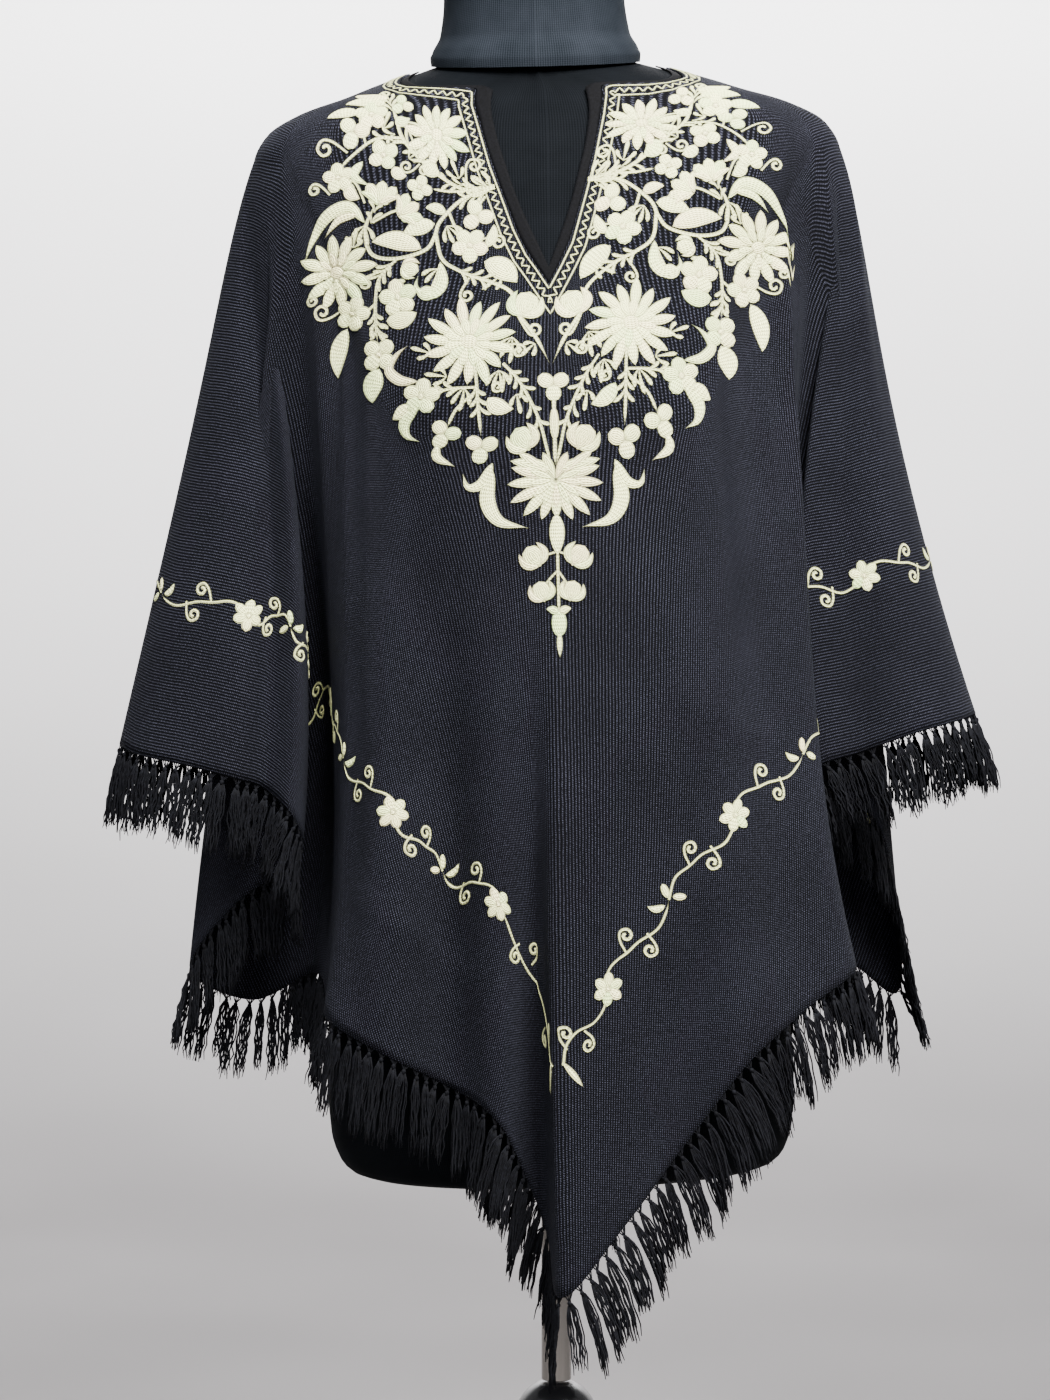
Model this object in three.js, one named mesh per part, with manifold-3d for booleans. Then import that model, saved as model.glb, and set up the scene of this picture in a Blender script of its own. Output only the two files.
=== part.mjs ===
// A woollen poncho with a slit neck and a fringed hem, worn by a limbless dress form on a pole stand.
// Millimetres, +Z up, the front faces -Y. The origin is the centre of the base plate's underside.
// The garment and the form are shaped upright and then leaned together a little to one side.
import * as THREE from "three";
import Module from "manifold-3d";
import { mergeVertices } from "three/addons/utils/BufferGeometryUtils.js";

const wasm = await Module();
wasm.setup();

// Stand
const BASE_RADIUS = 175;
const BASE_THICK = 9;
const BASE_CROWN = 7;
const BASE_FLAT = 70;
const BASE_SIDES = 44;
const TUBE_RADIUS = 16;
const TUBE_SIDES = 24;
const COLLAR_RADIUS = 28;
const COLLAR_TOP = 571;
const COLLAR_BOTTOM = 505;
const COLLAR_FLARE = 20;
const DOME_DEGREES = [72, 57, 42, 27];
const POLE_RADIUS = 10;
const POLE_SIDES = 28;
const TOUCH = 0.3;

// Dress form
const FORM_BOTTOM = 710;
const LEAN = 0.0247;
const SHIFT = 4.4;
const FORM_SIDES = 34;
const FORM_STEP = 80;
const NECK_SIDES = 28;
const NECK_RIM = 1451;
const NECK_TOP = 1541;
const NECK_SLOPE = 0.24;
const NECK_TIP_FROM = 1415;

// Cloth
const THICK = 1.6;
const CLEAR = 2.2;
const SEAM_GAP = 0.3;
const FACING_THICK = 1;
const FACING_PART = 0.05;
const SHOULDER_EASE = 7;
const EASE_ANGLES = { from: 38, full: 72, until: 105, none: 140 };
const EASE_HEIGHTS = { from: 1430, full: 1385 };
const LEAVE = 6;
const BEND_LENGTH = 60;
const ON_FORM_STEPS = 8;
const HANGING_STEPS = 6;

// Fringe
const STRAND_SPACING = 21;
const STRAND_LENGTH = 46;
const STRAND_RADIUS = 2.1;
const STRIP_HEIGHT = 3.2;
const STRIP_START = 0.36;
const STEEP = 0.86;

const SHADES = {
  wool: { color: 0x11131d, roughness: 0.92, metalness: 0 },
  facing: { color: 0x0b0b0e, roughness: 0.9, metalness: 0 },
  yarn: { color: 0x0c0d14, roughness: 0.85, metalness: 0 },
  jersey: { color: 0x14161b, roughness: 0.8, metalness: 0 },
  chrome: { color: 0xc9c4bd, roughness: 0.12, metalness: 1 },
  plastic: { color: 0x0a0a0b, roughness: 0.3, metalness: 0 },
  enamel: { color: 0x131313, roughness: 0.4, metalness: 0 },
};

// Level sections of the dress form, from the flat underside to the root of the neck: half the width, the
// depths in front and behind, and how far the middle stands to one side.
const FORM_SECTIONS = [
  { z: 710, half: 128, front: 78, back: 96, mid: 0 },
  { z: 714, half: 140, front: 89, back: 108, mid: 0 },
  { z: 722, half: 148, front: 95, back: 116, mid: 0 },
  { z: 740, half: 154, front: 100, back: 122, mid: 0 },
  { z: 775, half: 156, front: 103, back: 125, mid: 0 },
  { z: 850, half: 149, front: 100, back: 119, mid: 0 },
  { z: 930, half: 126, front: 92, back: 98, mid: 0 },
  { z: 980, half: 119, front: 91, back: 88, mid: 0 },
  { z: 1060, half: 125, front: 104, back: 88, mid: 0 },
  { z: 1140, half: 134, front: 121, back: 94, mid: 0 },
  { z: 1190, half: 140, front: 127, back: 99, mid: 1 },
  { z: 1240, half: 146, front: 120, back: 103, mid: 2 },
  { z: 1290, half: 155, front: 105, back: 104, mid: 4 },
  { z: 1330, half: 168, front: 93, back: 101, mid: 5 },
  { z: 1360, half: 181, front: 83, back: 96, mid: 5.5 },
  { z: 1385, half: 186, front: 72, back: 89, mid: 6 },
  { z: 1400, half: 181, front: 65, back: 83, mid: 6 },
  { z: 1413, half: 165, front: 59, back: 77, mid: 5.5 },
  { z: 1425, half: 138, front: 55, back: 71, mid: 5 },
  { z: 1437, half: 110, front: 53, back: 64, mid: 3.5 },
  { z: 1447, half: 79, front: 52, back: 58, mid: 1 },
  { z: 1451, half: 66, front: 50, back: 55, mid: 0 },
];

// Rings of the neck cover, above its rim.
const NECK_SECTIONS = [
  { rise: 0, half: 70, front: 57, back: 57 },
  { rise: 5, half: 70.5, front: 57.5, back: 57.5 },
  { rise: 20, half: 63.5, front: 52, back: 53 },
  { rise: 45, half: 60.5, front: 50, back: 52 },
  { rise: 74, half: 60.5, front: 50, back: 52 },
  { rise: 84, half: 56, front: 46, back: 48 },
  { rise: 89, half: 45, front: 36, back: 38 },
];

// The neck edge of the cloth, and of the facing that shows inside it at the front: heights by the
// angle from the front. The first rows are one side of the slit.
const NECK_EDGE = [
  { angle: 0, z: 1288, facing: 1299 },
  { angle: 4.5, z: 1316, facing: 1340 },
  { angle: 7, z: 1346, facing: 1376 },
  { angle: 8.6, z: 1370, facing: 1401 },
  { angle: 11, z: 1402, facing: 1425 },
  { angle: 17, z: 1427, facing: 1432 },
  { angle: 40, z: 1431, facing: 1434 },
  { angle: 55, z: 1436, facing: 1439 },
  { angle: 70, z: 1441, facing: 1443 },
  { angle: 90, z: 1445, facing: 1447 },
  { angle: 110, z: 1440, facing: 1442 },
  { angle: 130, z: 1433, facing: 1435 },
  { angle: 180, z: 1426, facing: 1428 },
];

// Where the cloth leaves the form and hangs free, by the angle from the front.
const HANG_EDGE = [
  { angle: 0, z: 1190 },
  { angle: 24, z: 1191 },
  { angle: 36, z: 1196 },
  { angle: 46, z: 1218 },
  { angle: 54, z: 1300 },
  { angle: 60, z: 1362 },
  { angle: 66, z: 1383 },
  { angle: 90, z: 1388 },
  { angle: 115, z: 1385 },
  { angle: 130, z: 1362 },
  { angle: 150, z: 1338 },
  { angle: 180, z: 1330 },
];

// The folds, from the front point round to the left of someone who wears it and back again. Each row is
// one ridge or valley: its angle at the shoulders, where it meets the hem, how far it bows sideways two
// thirds of the way down, how late it opens (1 is straight) and the mesh's strips up to the next row.
const FOLDS = [
  { name: "front_point", angle: 0, x: -3, y: -172, z: 659, bow: 0, late: 2, strips: 5 },
  { name: "front_flat", angle: 17, x: 35, y: -171, z: 701, bow: 0, late: 1.4, strips: 3 },
  { name: "front_dip", angle: 30, x: 73, y: -157, z: 747, bow: 0, late: 1, strips: 2 },
  { name: "front_swell", angle: 43, x: 112, y: -163, z: 796, bow: -2, late: 1, strips: 2 },
  { name: "right_turn", angle: 53, x: 152, y: -141, z: 828, bow: -8, late: 1, strips: 2 },
  { name: "right_edge", angle: 59.5, x: 188, y: -106, z: 850, bow: -13, late: 1, strips: 2 },
  { name: "right_under", angle: 62.5, x: 175, y: -64, z: 857, bow: -20, late: 1, strips: 2 },
  { name: "right_wall", angle: 65, x: 172, y: 4, z: 860, bow: -22, late: 1, strips: 2 },
  { name: "right_tuck", angle: 67.5, x: 204, y: 33, z: 838, bow: -6, late: 1, strips: 2 },
  { name: "right_pleat", angle: 69.5, x: 233, y: 34, z: 823, bow: 2, late: 1, strips: 2 },
  { name: "right_return", angle: 71.5, x: 221, y: 4, z: 925, bow: -3, late: 1, strips: 2 },
  { name: "right_valley", angle: 74, x: 182, y: -24, z: 962, bow: -16, late: 1, strips: 2 },
  { name: "right_flap_in", angle: 76.5, x: 173, y: -58, z: 978, bow: -14, late: 1, strips: 2 },
  { name: "right_crease", angle: 79.5, x: 201, y: -50, z: 986, bow: -6, late: 1, strips: 2 },
  { name: "right_flap", angle: 83, x: 234, y: -55, z: 997, bow: -3, late: 1, strips: 2 },
  { name: "right_flap_out", angle: 87, x: 268, y: -35, z: 1005, bow: -3.5, late: 1.15, strips: 2 },
  { name: "right_shoulder", angle: 91, x: 283, y: 0, z: 1009, bow: -3.5, late: 1.15, strips: 2 },
  { name: "right_rear_out", angle: 95, x: 266, y: 36, z: 1003, bow: -3.5, late: 1.15, strips: 2 },
  { name: "right_rear_flap", angle: 99, x: 229, y: 61, z: 991, bow: 0, late: 1, strips: 2 },
  { name: "right_rear_in", angle: 103, x: 190, y: 66, z: 970, bow: 0, late: 1.1, strips: 2 },
  { name: "right_rear_valley", angle: 107, x: 173, y: 76, z: 936, bow: 0, late: 1.1, strips: 3 },
  { name: "right_rear_pleat", angle: 110, x: 210, y: 95, z: 900, bow: 0, late: 1.2, strips: 3 },
  { name: "right_rear_tuck", angle: 113, x: 174, y: 113, z: 870, bow: 0, late: 1.2, strips: 2 },
  { name: "right_rear_edge", angle: 119, x: 190, y: 136, z: 852, bow: 0, late: 1.2, strips: 2 },
  { name: "right_rear_swell", angle: 131, x: 156, y: 160, z: 826, bow: 0, late: 1.1, strips: 2 },
  { name: "right_rear_dip", angle: 143, x: 116, y: 144, z: 789, bow: 0, late: 1.1, strips: 2 },
  { name: "rear_swell_r", angle: 156, x: 74, y: 171, z: 742, bow: 0, late: 1.1, strips: 2 },
  { name: "rear_dip_r", angle: 168, x: 36, y: 158, z: 697, bow: 0, late: 1.1, strips: 2 },
  { name: "rear_point", angle: 180, x: 2, y: 174, z: 657, bow: 0, late: 1.1, strips: 2 },
  { name: "rear_dip_l", angle: 193, x: -39, y: 157, z: 699, bow: 0, late: 1.1, strips: 2 },
  { name: "rear_swell_l", angle: 205, x: -80, y: 168, z: 745, bow: 0, late: 1.1, strips: 2 },
  { name: "left_rear_dip", angle: 217, x: -117, y: 147, z: 789, bow: 0, late: 1.1, strips: 2 },
  { name: "left_rear_swell", angle: 229, x: -153, y: 161, z: 826, bow: 0, late: 1.1, strips: 2 },
  { name: "left_rear_edge", angle: 241, x: -187, y: 138, z: 852, bow: 0, late: 1.2, strips: 2 },
  { name: "left_rear_tuck", angle: 247, x: -172, y: 113, z: 870, bow: 0, late: 1.2, strips: 3 },
  { name: "left_rear_pleat", angle: 250, x: -208, y: 95, z: 900, bow: 0, late: 1.2, strips: 3 },
  { name: "left_rear_valley", angle: 253, x: -172, y: 76, z: 936, bow: 0, late: 1.1, strips: 2 },
  { name: "left_rear_in", angle: 257, x: -190, y: 65, z: 970, bow: 0, late: 1.1, strips: 2 },
  { name: "left_rear_flap", angle: 261, x: -230, y: 60, z: 987, bow: 0, late: 1, strips: 2 },
  { name: "left_rear_out", angle: 265, x: -271, y: 35, z: 997, bow: 0, late: 1, strips: 2 },
  { name: "left_shoulder", angle: 269, x: -289, y: 0, z: 1003, bow: 0, late: 1, strips: 2 },
  { name: "left_flap_out", angle: 273, x: -274, y: -33, z: 996, bow: 0, late: 1, strips: 2 },
  { name: "left_flap", angle: 276.5, x: -239, y: -54, z: 988, bow: 2, late: 1, strips: 2 },
  { name: "left_flap_in", angle: 280, x: -207, y: -60, z: 979, bow: 3, late: 1.2, strips: 2 },
  { name: "left_crease", angle: 283, x: -190, y: -45, z: 972, bow: 5, late: 1.3, strips: 2 },
  { name: "left_strip", angle: 286, x: -171, y: -61, z: 955, bow: 9, late: 1.3, strips: 2 },
  { name: "left_valley", angle: 289, x: -168, y: -34, z: 928, bow: 10, late: 1.3, strips: 2 },
  { name: "left_return", angle: 291, x: -214, y: -17, z: 894, bow: 0, late: 1.3, strips: 2 },
  { name: "left_pleat", angle: 293, x: -247, y: 8, z: 850, bow: -4, late: 1.3, strips: 2 },
  { name: "left_tuck", angle: 295, x: -208, y: 24, z: 827, bow: 3, late: 1.3, strips: 2 },
  { name: "left_wall", angle: 297.5, x: -165, y: 3, z: 846, bow: 14, late: 1.3, strips: 2 },
  { name: "left_under", angle: 300, x: -151, y: -60, z: 836, bow: 12, late: 1.3, strips: 2 },
  { name: "left_edge", angle: 304, x: -147, y: -104, z: 825, bow: 12, late: 1.2, strips: 2 },
  { name: "left_swell", angle: 317, x: -107, y: -129, z: 803, bow: 0, late: 1.2, strips: 2 },
  { name: "left_dip", angle: 330, x: -70, y: -111, z: 781, bow: 0, late: 1.4, strips: 3 },
  { name: "left_flute", angle: 343, x: -40, y: -128, z: 760, bow: 0, late: 1.6, strips: 3 },
  { name: "front_step", angle: 354, x: -14, y: -116, z: 697, bow: 0, late: 2, strips: 2 },
];
const FRONT = ["left_shoulder", "right_shoulder"];
const BACK = ["right_shoulder", "left_shoulder"];

// The fringe is worked in six lengths, each from one fold to another.
const FRINGES = [
  { name: "fringe_front_right", from: "front_point", to: "right_edge" },
  { name: "fringe_side_right", from: "right_edge", to: "right_shoulder" },
  { name: "fringe_rear_right", from: "right_shoulder", to: "rear_point" },
  { name: "fringe_rear_left", from: "rear_point", to: "left_shoulder" },
  { name: "fringe_side_left", from: "left_shoulder", to: "left_edge" },
  { name: "fringe_front_left", from: "left_edge", to: "front_point" },
];

const RADIANS = Math.PI / 180;
const mix = (a, b, t) => a + (b - a) * t;
const step = (low, high, value) => THREE.MathUtils.smoothstep((value - low) / (high - low), 0, 1);

// A smooth curve through a table that never swings past its rows.
function smooth(table, at, key, value) {
  const last = table.length - 1;
  let i = 0;
  while (i < last - 1 && value > table[i + 1][at]) i += 1;
  const span = (j) => table[j + 1][at] - table[j][at];
  const rate = (j) => (table[j + 1][key] - table[j][key]) / span(j);
  const slope = (j) => {
    if (j === 0) return rate(0);
    if (j === last) return rate(last - 1);
    const [a, b] = [rate(j - 1), rate(j)];
    return a * b <= 0 ? 0 : (2 * a * b) / (a + b);
  };
  const h = span(i);
  const t = Math.min(1, Math.max(0, (value - table[i][at]) / h));
  return (
    (1 + 2 * t) * (1 - t) * (1 - t) * table[i][key] +
    t * (1 - t) * (1 - t) * h * slope(i) +
    t * t * (3 - 2 * t) * table[i + 1][key] +
    t * t * (t - 1) * h * slope(i + 1)
  );
}

// Folds an angle onto 0 to 180, because the edge tables give one side.
function fromFront(angle) {
  const turned = ((angle % 360) + 360) % 360;
  return turned > 180 ? 360 - turned : turned;
}

// A point of the form's skin. Its level sections tip forward as they near the root of the neck.
function formPoint(angle, z) {
  const turn = angle * RADIANS;
  const depth = Math.cos(turn) > 0 ? "front" : "back";
  const middle = smooth(FORM_SECTIONS, "z", "mid", z);
  const x = middle + smooth(FORM_SECTIONS, "z", "half", z) * Math.sin(turn);
  const y = -smooth(FORM_SECTIONS, "z", depth, z) * Math.cos(turn);
  return new THREE.Vector3(x, y, z + NECK_SLOPE * y * step(NECK_TIP_FROM, NECK_RIM, z));
}

function formNormal(angle, z) {
  const round = formPoint(angle + 0.5, z).sub(formPoint(angle - 0.5, z));
  const up = formPoint(angle, z + 0.5).sub(formPoint(angle, z - 0.5));
  return round.cross(up).normalize();
}

// The middle of the cloth where the form carries it. It stands off the outside of the shoulders.
function onForm(angle, z) {
  const side = fromFront(angle);
  const { from, full, until, none } = EASE_ANGLES;
  const round = step(from, full, side) * step(none, until, side);
  const stand = SHOULDER_EASE * round * step(EASE_HEIGHTS.from, EASE_HEIGHTS.full, z);
  return formPoint(angle, z).addScaledVector(formNormal(angle, z), CLEAR + THICK / 2 + stand);
}

const hemPlan = new THREE.CatmullRomCurve3(
  FOLDS.map((fold) => new THREE.Vector3(fold.x, fold.y, 0)),
  true,
  "centripetal",
);

// One line down the cloth. at is a place in FOLDS: 2.5 is halfway from row 2 to row 3.
function column(at) {
  const row = Math.floor(at);
  const t = at - row;
  const a = FOLDS[row % FOLDS.length];
  const b = FOLDS[(row + 1) % FOLDS.length];
  const end = b.angle < a.angle ? b.angle + 360 : b.angle;
  const angle = mix(a.angle, end, t);
  const hem = hemPlan.getPoint((at % FOLDS.length) / FOLDS.length);
  hem.z = mix(a.z, b.z, t);
  return { angle, hem, bow: mix(a.bow, b.bow, t), late: mix(a.late, b.late, t) };
}

// The height that is a share of the way down the form's skin from one height to another. A bend
// counts as extra length, so that the rows of the mesh lie closer there.
function evenly(angle, high, low, share) {
  const count = 24;
  const points = [];
  for (let i = 0; i <= count; i += 1) points.push(formPoint(angle, mix(high, low, i / count)));
  const legs = points.slice(1).map((p, i) => p.clone().sub(points[i]));
  const lengths = [0];
  legs.forEach((leg, i) => {
    const bend = leg.angleTo(legs[Math.max(0, i - 1)]);
    lengths.push(lengths[i] + leg.length() + BEND_LENGTH * bend);
  });
  const wanted = share * lengths[count];
  let i = 1;
  while (i < count && lengths[i] < wanted) i += 1;
  const part = (wanted - lengths[i - 1]) / (lengths[i] - lengths[i - 1]);
  return mix(high, low, (i - 1 + part) / count);
}

// The middle of the cloth's wall: down runs from 0 at the neck edge, through 1 where the cloth leaves
// the form, to 2 at the hem.
function clothPoint(line, down) {
  const side = fromFront(line.angle);
  const hang = smooth(HANG_EDGE, "angle", "z", side);
  if (down <= 1) {
    const neck = smooth(NECK_EDGE, "angle", "z", side);
    return onForm(line.angle, evenly(line.angle, neck, hang, down));
  }
  const top = onForm(line.angle, hang);
  const before = onForm(line.angle, hang + 2);
  const s = down - 1;
  const open = s ** line.late;
  const drop = (top.z - line.hem.z) / 2;
  const leave = s * (1 - s) ** LEAVE;
  const outX = (top.x - before.x) * drop - (line.hem.x - top.x);
  const outY = (top.y - before.y) * drop - (line.hem.y - top.y);
  return new THREE.Vector3(
    mix(top.x, line.hem.x, open) + line.bow * 6.75 * s * s * (1 - s) + outX * leave,
    mix(top.y, line.hem.y, open) + outY * leave,
    mix(top.z, line.hem.z, s),
  );
}

// The garment and the form lean together about the foot of the form, which sits a little to one side.
function lean(p) {
  const [c, s] = [Math.cos(LEAN), Math.sin(LEAN)];
  const z = p.z - FORM_BOTTOM;
  return new THREE.Vector3(p.x * c - z * s + SHIFT, p.y, p.x * s + z * c + FORM_BOTTOM);
}

function geometry(points, faces) {
  const made = new THREE.BufferGeometry();
  const flat = new Float32Array(points.flatMap((p) => [p.x, p.y, p.z]));
  made.setAttribute("position", new THREE.BufferAttribute(flat, 3));
  made.setIndex(faces);
  return made;
}

// Closes a sheet, given as rows of middle points with normals, into a wall of even thickness.
function wall(middle, normals, thick) {
  const [rows, columns] = [middle.length, middle[0].length];
  const points = [];
  for (const side of [0.5, -0.5])
    for (let r = 0; r < rows; r += 1)
      for (let c = 0; c < columns; c += 1)
        points.push(middle[r][c].clone().addScaledVector(normals[r][c], side * thick));
  const at = (layer, r, c) => (layer * rows + r) * columns + c;
  const faces = [];
  const quad = (a, b, c, d) => faces.push(a, b, c, a, c, d);
  for (let r = 0; r < rows - 1; r += 1)
    for (let c = 0; c < columns - 1; c += 1) {
      quad(at(0, r, c), at(0, r + 1, c), at(0, r + 1, c + 1), at(0, r, c + 1));
      quad(at(1, r, c), at(1, r, c + 1), at(1, r + 1, c + 1), at(1, r + 1, c));
    }
  for (let c = 0; c < columns - 1; c += 1) {
    quad(at(0, 0, c), at(0, 0, c + 1), at(1, 0, c + 1), at(1, 0, c));
    quad(at(0, rows - 1, c + 1), at(0, rows - 1, c), at(1, rows - 1, c), at(1, rows - 1, c + 1));
  }
  for (let r = 0; r < rows - 1; r += 1) {
    quad(at(0, r + 1, 0), at(0, r, 0), at(1, r, 0), at(1, r + 1, 0));
    quad(at(0, r, columns - 1), at(0, r + 1, columns - 1), at(1, r + 1, columns - 1), at(1, r, columns - 1));
  }
  return geometry(points, faces);
}

// The places of the mesh's columns between two rows of FOLDS.
function places(from, to) {
  const first = FOLDS.findIndex((fold) => fold.name === from);
  let last = FOLDS.findIndex((fold) => fold.name === to);
  if (last <= first) last += FOLDS.length;
  const list = [];
  for (let row = first; row < last; row += 1) {
    const { strips } = FOLDS[row % FOLDS.length];
    for (let i = 0; i < strips; i += 1) list.push(row + i / strips);
  }
  return [...list, last];
}

const SPAN = 1e-3;

function clothNormal(place, down) {
  const ring = clothPoint(column(place + SPAN), down).sub(
    clothPoint(column(place - SPAN + FOLDS.length), down),
  );
  const low = Math.min(2, down + SPAN);
  const high = Math.max(0, down - SPAN);
  const line = column(place);
  const rise = clothPoint(line, high).sub(clothPoint(line, low));
  return ring.cross(rise).normalize();
}

function clothDowns() {
  const list = [];
  for (let i = 0; i < ON_FORM_STEPS; i += 1) list.push(i / ON_FORM_STEPS);
  for (let i = 0; i <= HANGING_STEPS; i += 1) list.push(1 + i / HANGING_STEPS);
  return list;
}

// A point just off the cloth's hem, in line with the cloth and a given distance square to the hem.
function offHem(place, hem, off) {
  const fall = clothPoint(column(place), 2).sub(clothPoint(column(place), 2 - SPAN)).normalize();
  const run = clothPoint(column(place + SPAN), 2)
    .sub(clothPoint(column(place - SPAN + FOLDS.length), 2))
    .normalize();
  return hem.clone().addScaledVector(fall, off / Math.max(0.3, fall.clone().cross(run).length()));
}

// A panel between two rows of FOLDS, held half the seam's gap off them. spare widens it all round.
function panel([from, to], spare = 0) {
  const list = places(from, to);
  const middle = [];
  const normals = [];
  for (const down of clothDowns()) {
    const points = list.map((place) => clothPoint(column(place), down));
    if (down === 2) points.forEach((p, i) => p.copy(offHem(list[i], p, spare)));
    const end = points.length - 1;
    for (const [edge, next] of [[0, 1], [end, end - 1]]) {
      const inward = points[next].clone().sub(points[edge]).setLength(SEAM_GAP / 2 - spare);
      points[edge].add(inward);
    }
    middle.push(points.map(lean));
    normals.push(list.map((place) => clothNormal(place, down)));
  }
  return wall(middle, normals, THICK + 2 * spare);
}

// The facing: a thin strip in line with the front panel, just inside its neck edge.
function facing() {
  const list = places("left_crease", "right_crease");
  const edges = (place, share) => {
    const { angle } = column(place);
    const side = fromFront(angle);
    const low = smooth(NECK_EDGE, "angle", "z", side);
    const rise = smooth(NECK_EDGE, "angle", "facing", side) - low;
    return { angle, z: low + rise * mix(FACING_PART, 1, share) + TOUCH };
  };
  const rows = [1, 0].map((share) => list.map((place) => edges(place, share)));
  const middle = rows.map((row) => row.map(({ angle, z }) => lean(onForm(angle, z))));
  const normals = rows.map((row) => row.map(({ angle, z }) => formNormal(angle, z)));
  return wall(middle, normals, FACING_THICK);
}

function solid(shape) {
  const bare = shape.clone();
  bare.deleteAttribute("normal");
  bare.deleteAttribute("uv");
  const merged = mergeVertices(bare, 1e-4);
  return new wasm.Manifold(
    new wasm.Mesh({
      numProp: 3,
      vertProperties: merged.attributes.position.array,
      triVerts: new Uint32Array(merged.index.array),
    }),
  );
}

function shapeOf(body) {
  const mesh = body.getMesh();
  const made = new THREE.BufferGeometry();
  made.setAttribute("position", new THREE.BufferAttribute(mesh.vertProperties, 3));
  made.setIndex(new THREE.BufferAttribute(mesh.triVerts, 1));
  return made;
}

// A three-sided strand that narrows to a blunt tip. Its root lies along the strip that holds it.
function strand(root, slope, length, sway) {
  const level = slope.clone().setZ(0).normalize();
  const out = new THREE.Vector3(level.y, -level.x, 0);
  const tip = root.clone().addScaledVector(level, sway);
  tip.z -= length;
  const points = [];
  for (const [centre, along, radius] of [[root, slope, STRAND_RADIUS], [tip, level, STRAND_RADIUS / 2]])
    for (let i = 0; i < 3; i += 1) {
      const turn = (i / 3) * 2 * Math.PI;
      points.push(
        centre
          .clone()
          .addScaledVector(along, radius * Math.cos(turn))
          .addScaledVector(out, (radius / 3) * Math.sin(turn)),
      );
    }
  const faces = [0, 2, 1, 3, 4, 5];
  for (let i = 0; i < 3; i += 1) {
    const j = (i + 1) % 3;
    faces.push(i, j, 3 + j, i, 3 + j, 3 + i);
  }
  return geometry(points, faces);
}

// A narrow strip that follows the hem a hair's breadth off it, with the strands' roots in it.
function fringe({ from, to }) {
  const list = places(from, to);
  const hem = list.map((place) => clothPoint(column(place), 2));
  for (const [edge, next] of [[0, 1], [hem.length - 1, hem.length - 2]]) {
    hem[edge].add(hem[next].clone().sub(hem[edge]).setLength(STRAND_RADIUS));
  }
  const middle = [STRIP_START, STRIP_HEIGHT].map((off) =>
    hem.map((p, i) => lean(offHem(list[i], p, off))),
  );
  const normals = list.map((place) => clothNormal(place, 2));
  let body = solid(wall(middle, [normals, normals], THICK));
  const line = middle[1].map((p, i) => p.clone().lerp(middle[0][i], 0.4));
  const path = new THREE.CurvePath();
  for (let i = 0; i < line.length - 1; i += 1) path.add(new THREE.LineCurve3(line[i], line[i + 1]));
  const count = Math.floor(path.getLength() / STRAND_SPACING);
  for (let i = 0; i < count; i += 1) {
    const t = (i + 0.5) / count;
    if (Math.abs(path.getTangentAt(t).z) > STEEP) continue;
    const sway = 3 * Math.sin(i * 2.4);
    const length = STRAND_LENGTH * (1 + 0.08 * Math.sin(i * 1.7));
    body = body.add(solid(strand(path.getPointAt(t), path.getTangentAt(t), length, sway)));
  }
  for (const half of [FRONT, BACK]) body = body.subtract(solid(panel(half, TOUCH)));
  const parts = body.decompose();
  parts.sort((a, b) => b.volume() - a.volume());
  return shapeOf(parts[0]);
}

// A closed stack of oval rings, each with its own height at the front and back.
function stack(rings, sides) {
  const points = [];
  for (const ring of rings)
    for (let i = 0; i < sides; i += 1) points.push(ring((i / sides) * 360));
  const faces = [];
  const top = (rings.length - 1) * sides;
  for (let i = 1; i < sides - 1; i += 1) {
    faces.push(0, i + 1, i);
    faces.push(top, top + i, top + i + 1);
  }
  for (let r = 0; r < rings.length - 1; r += 1)
    for (let i = 0; i < sides; i += 1) {
      const j = (i + 1) % sides;
      const [a, b] = [r * sides, (r + 1) * sides];
      faces.push(a + i, a + j, b + j, a + i, b + j, b + i);
    }
  return geometry(points, faces);
}

function formHeights() {
  const list = [];
  for (let i = 0; i < FORM_SECTIONS.length - 1; i += 1) {
    const [low, high] = [FORM_SECTIONS[i].z, FORM_SECTIONS[i + 1].z];
    const steps = Math.max(1, Math.round((high - low) / FORM_STEP));
    for (let k = 0; k < steps; k += 1) list.push(mix(low, high, k / steps));
  }
  return [...list, FORM_SECTIONS[FORM_SECTIONS.length - 1].z];
}

const torso = () =>
  stack(
    formHeights().map((z) => (angle) => lean(formPoint(angle, z))),
    FORM_SIDES,
  );

// The neck and its cover, whose rim stands a little out from the root of the neck.
function neckCover() {
  const ring = ({ rise, half, front, back }) => (angle) => {
    const turn = angle * RADIANS;
    const x = half * Math.sin(turn);
    const y = -(Math.cos(turn) > 0 ? front : back) * Math.cos(turn);
    const fade = 1 - rise / (NECK_TOP - NECK_RIM);
    return lean(new THREE.Vector3(x, y, NECK_RIM + TOUCH + rise + NECK_SLOPE * y * fade));
  };
  return stack(NECK_SECTIONS.map(ring), NECK_SIDES);
}

const turned = (profile, sides) => {
  const shape = new THREE.LatheGeometry(
    profile.map(([r, z]) => new THREE.Vector2(r, z)),
    sides,
  );
  return shape.rotateX(Math.PI / 2);
};

const basePlate = () =>
  turned(
    [
      [0, 0],
      [BASE_RADIUS - 2, 0],
      [BASE_RADIUS, 2],
      [BASE_RADIUS, BASE_THICK - 2],
      [BASE_RADIUS - 3, BASE_THICK],
      [BASE_FLAT, BASE_THICK + BASE_CROWN],
      [0, BASE_THICK + BASE_CROWN],
    ],
    BASE_SIDES,
  );

const lowerTube = () => {
  const low = BASE_THICK + BASE_CROWN + TOUCH;
  const high = COLLAR_BOTTOM - TOUCH;
  return turned([[0, low], [TUBE_RADIUS, low], [TUBE_RADIUS, high], [0, high]], TUBE_SIDES);
};

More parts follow.
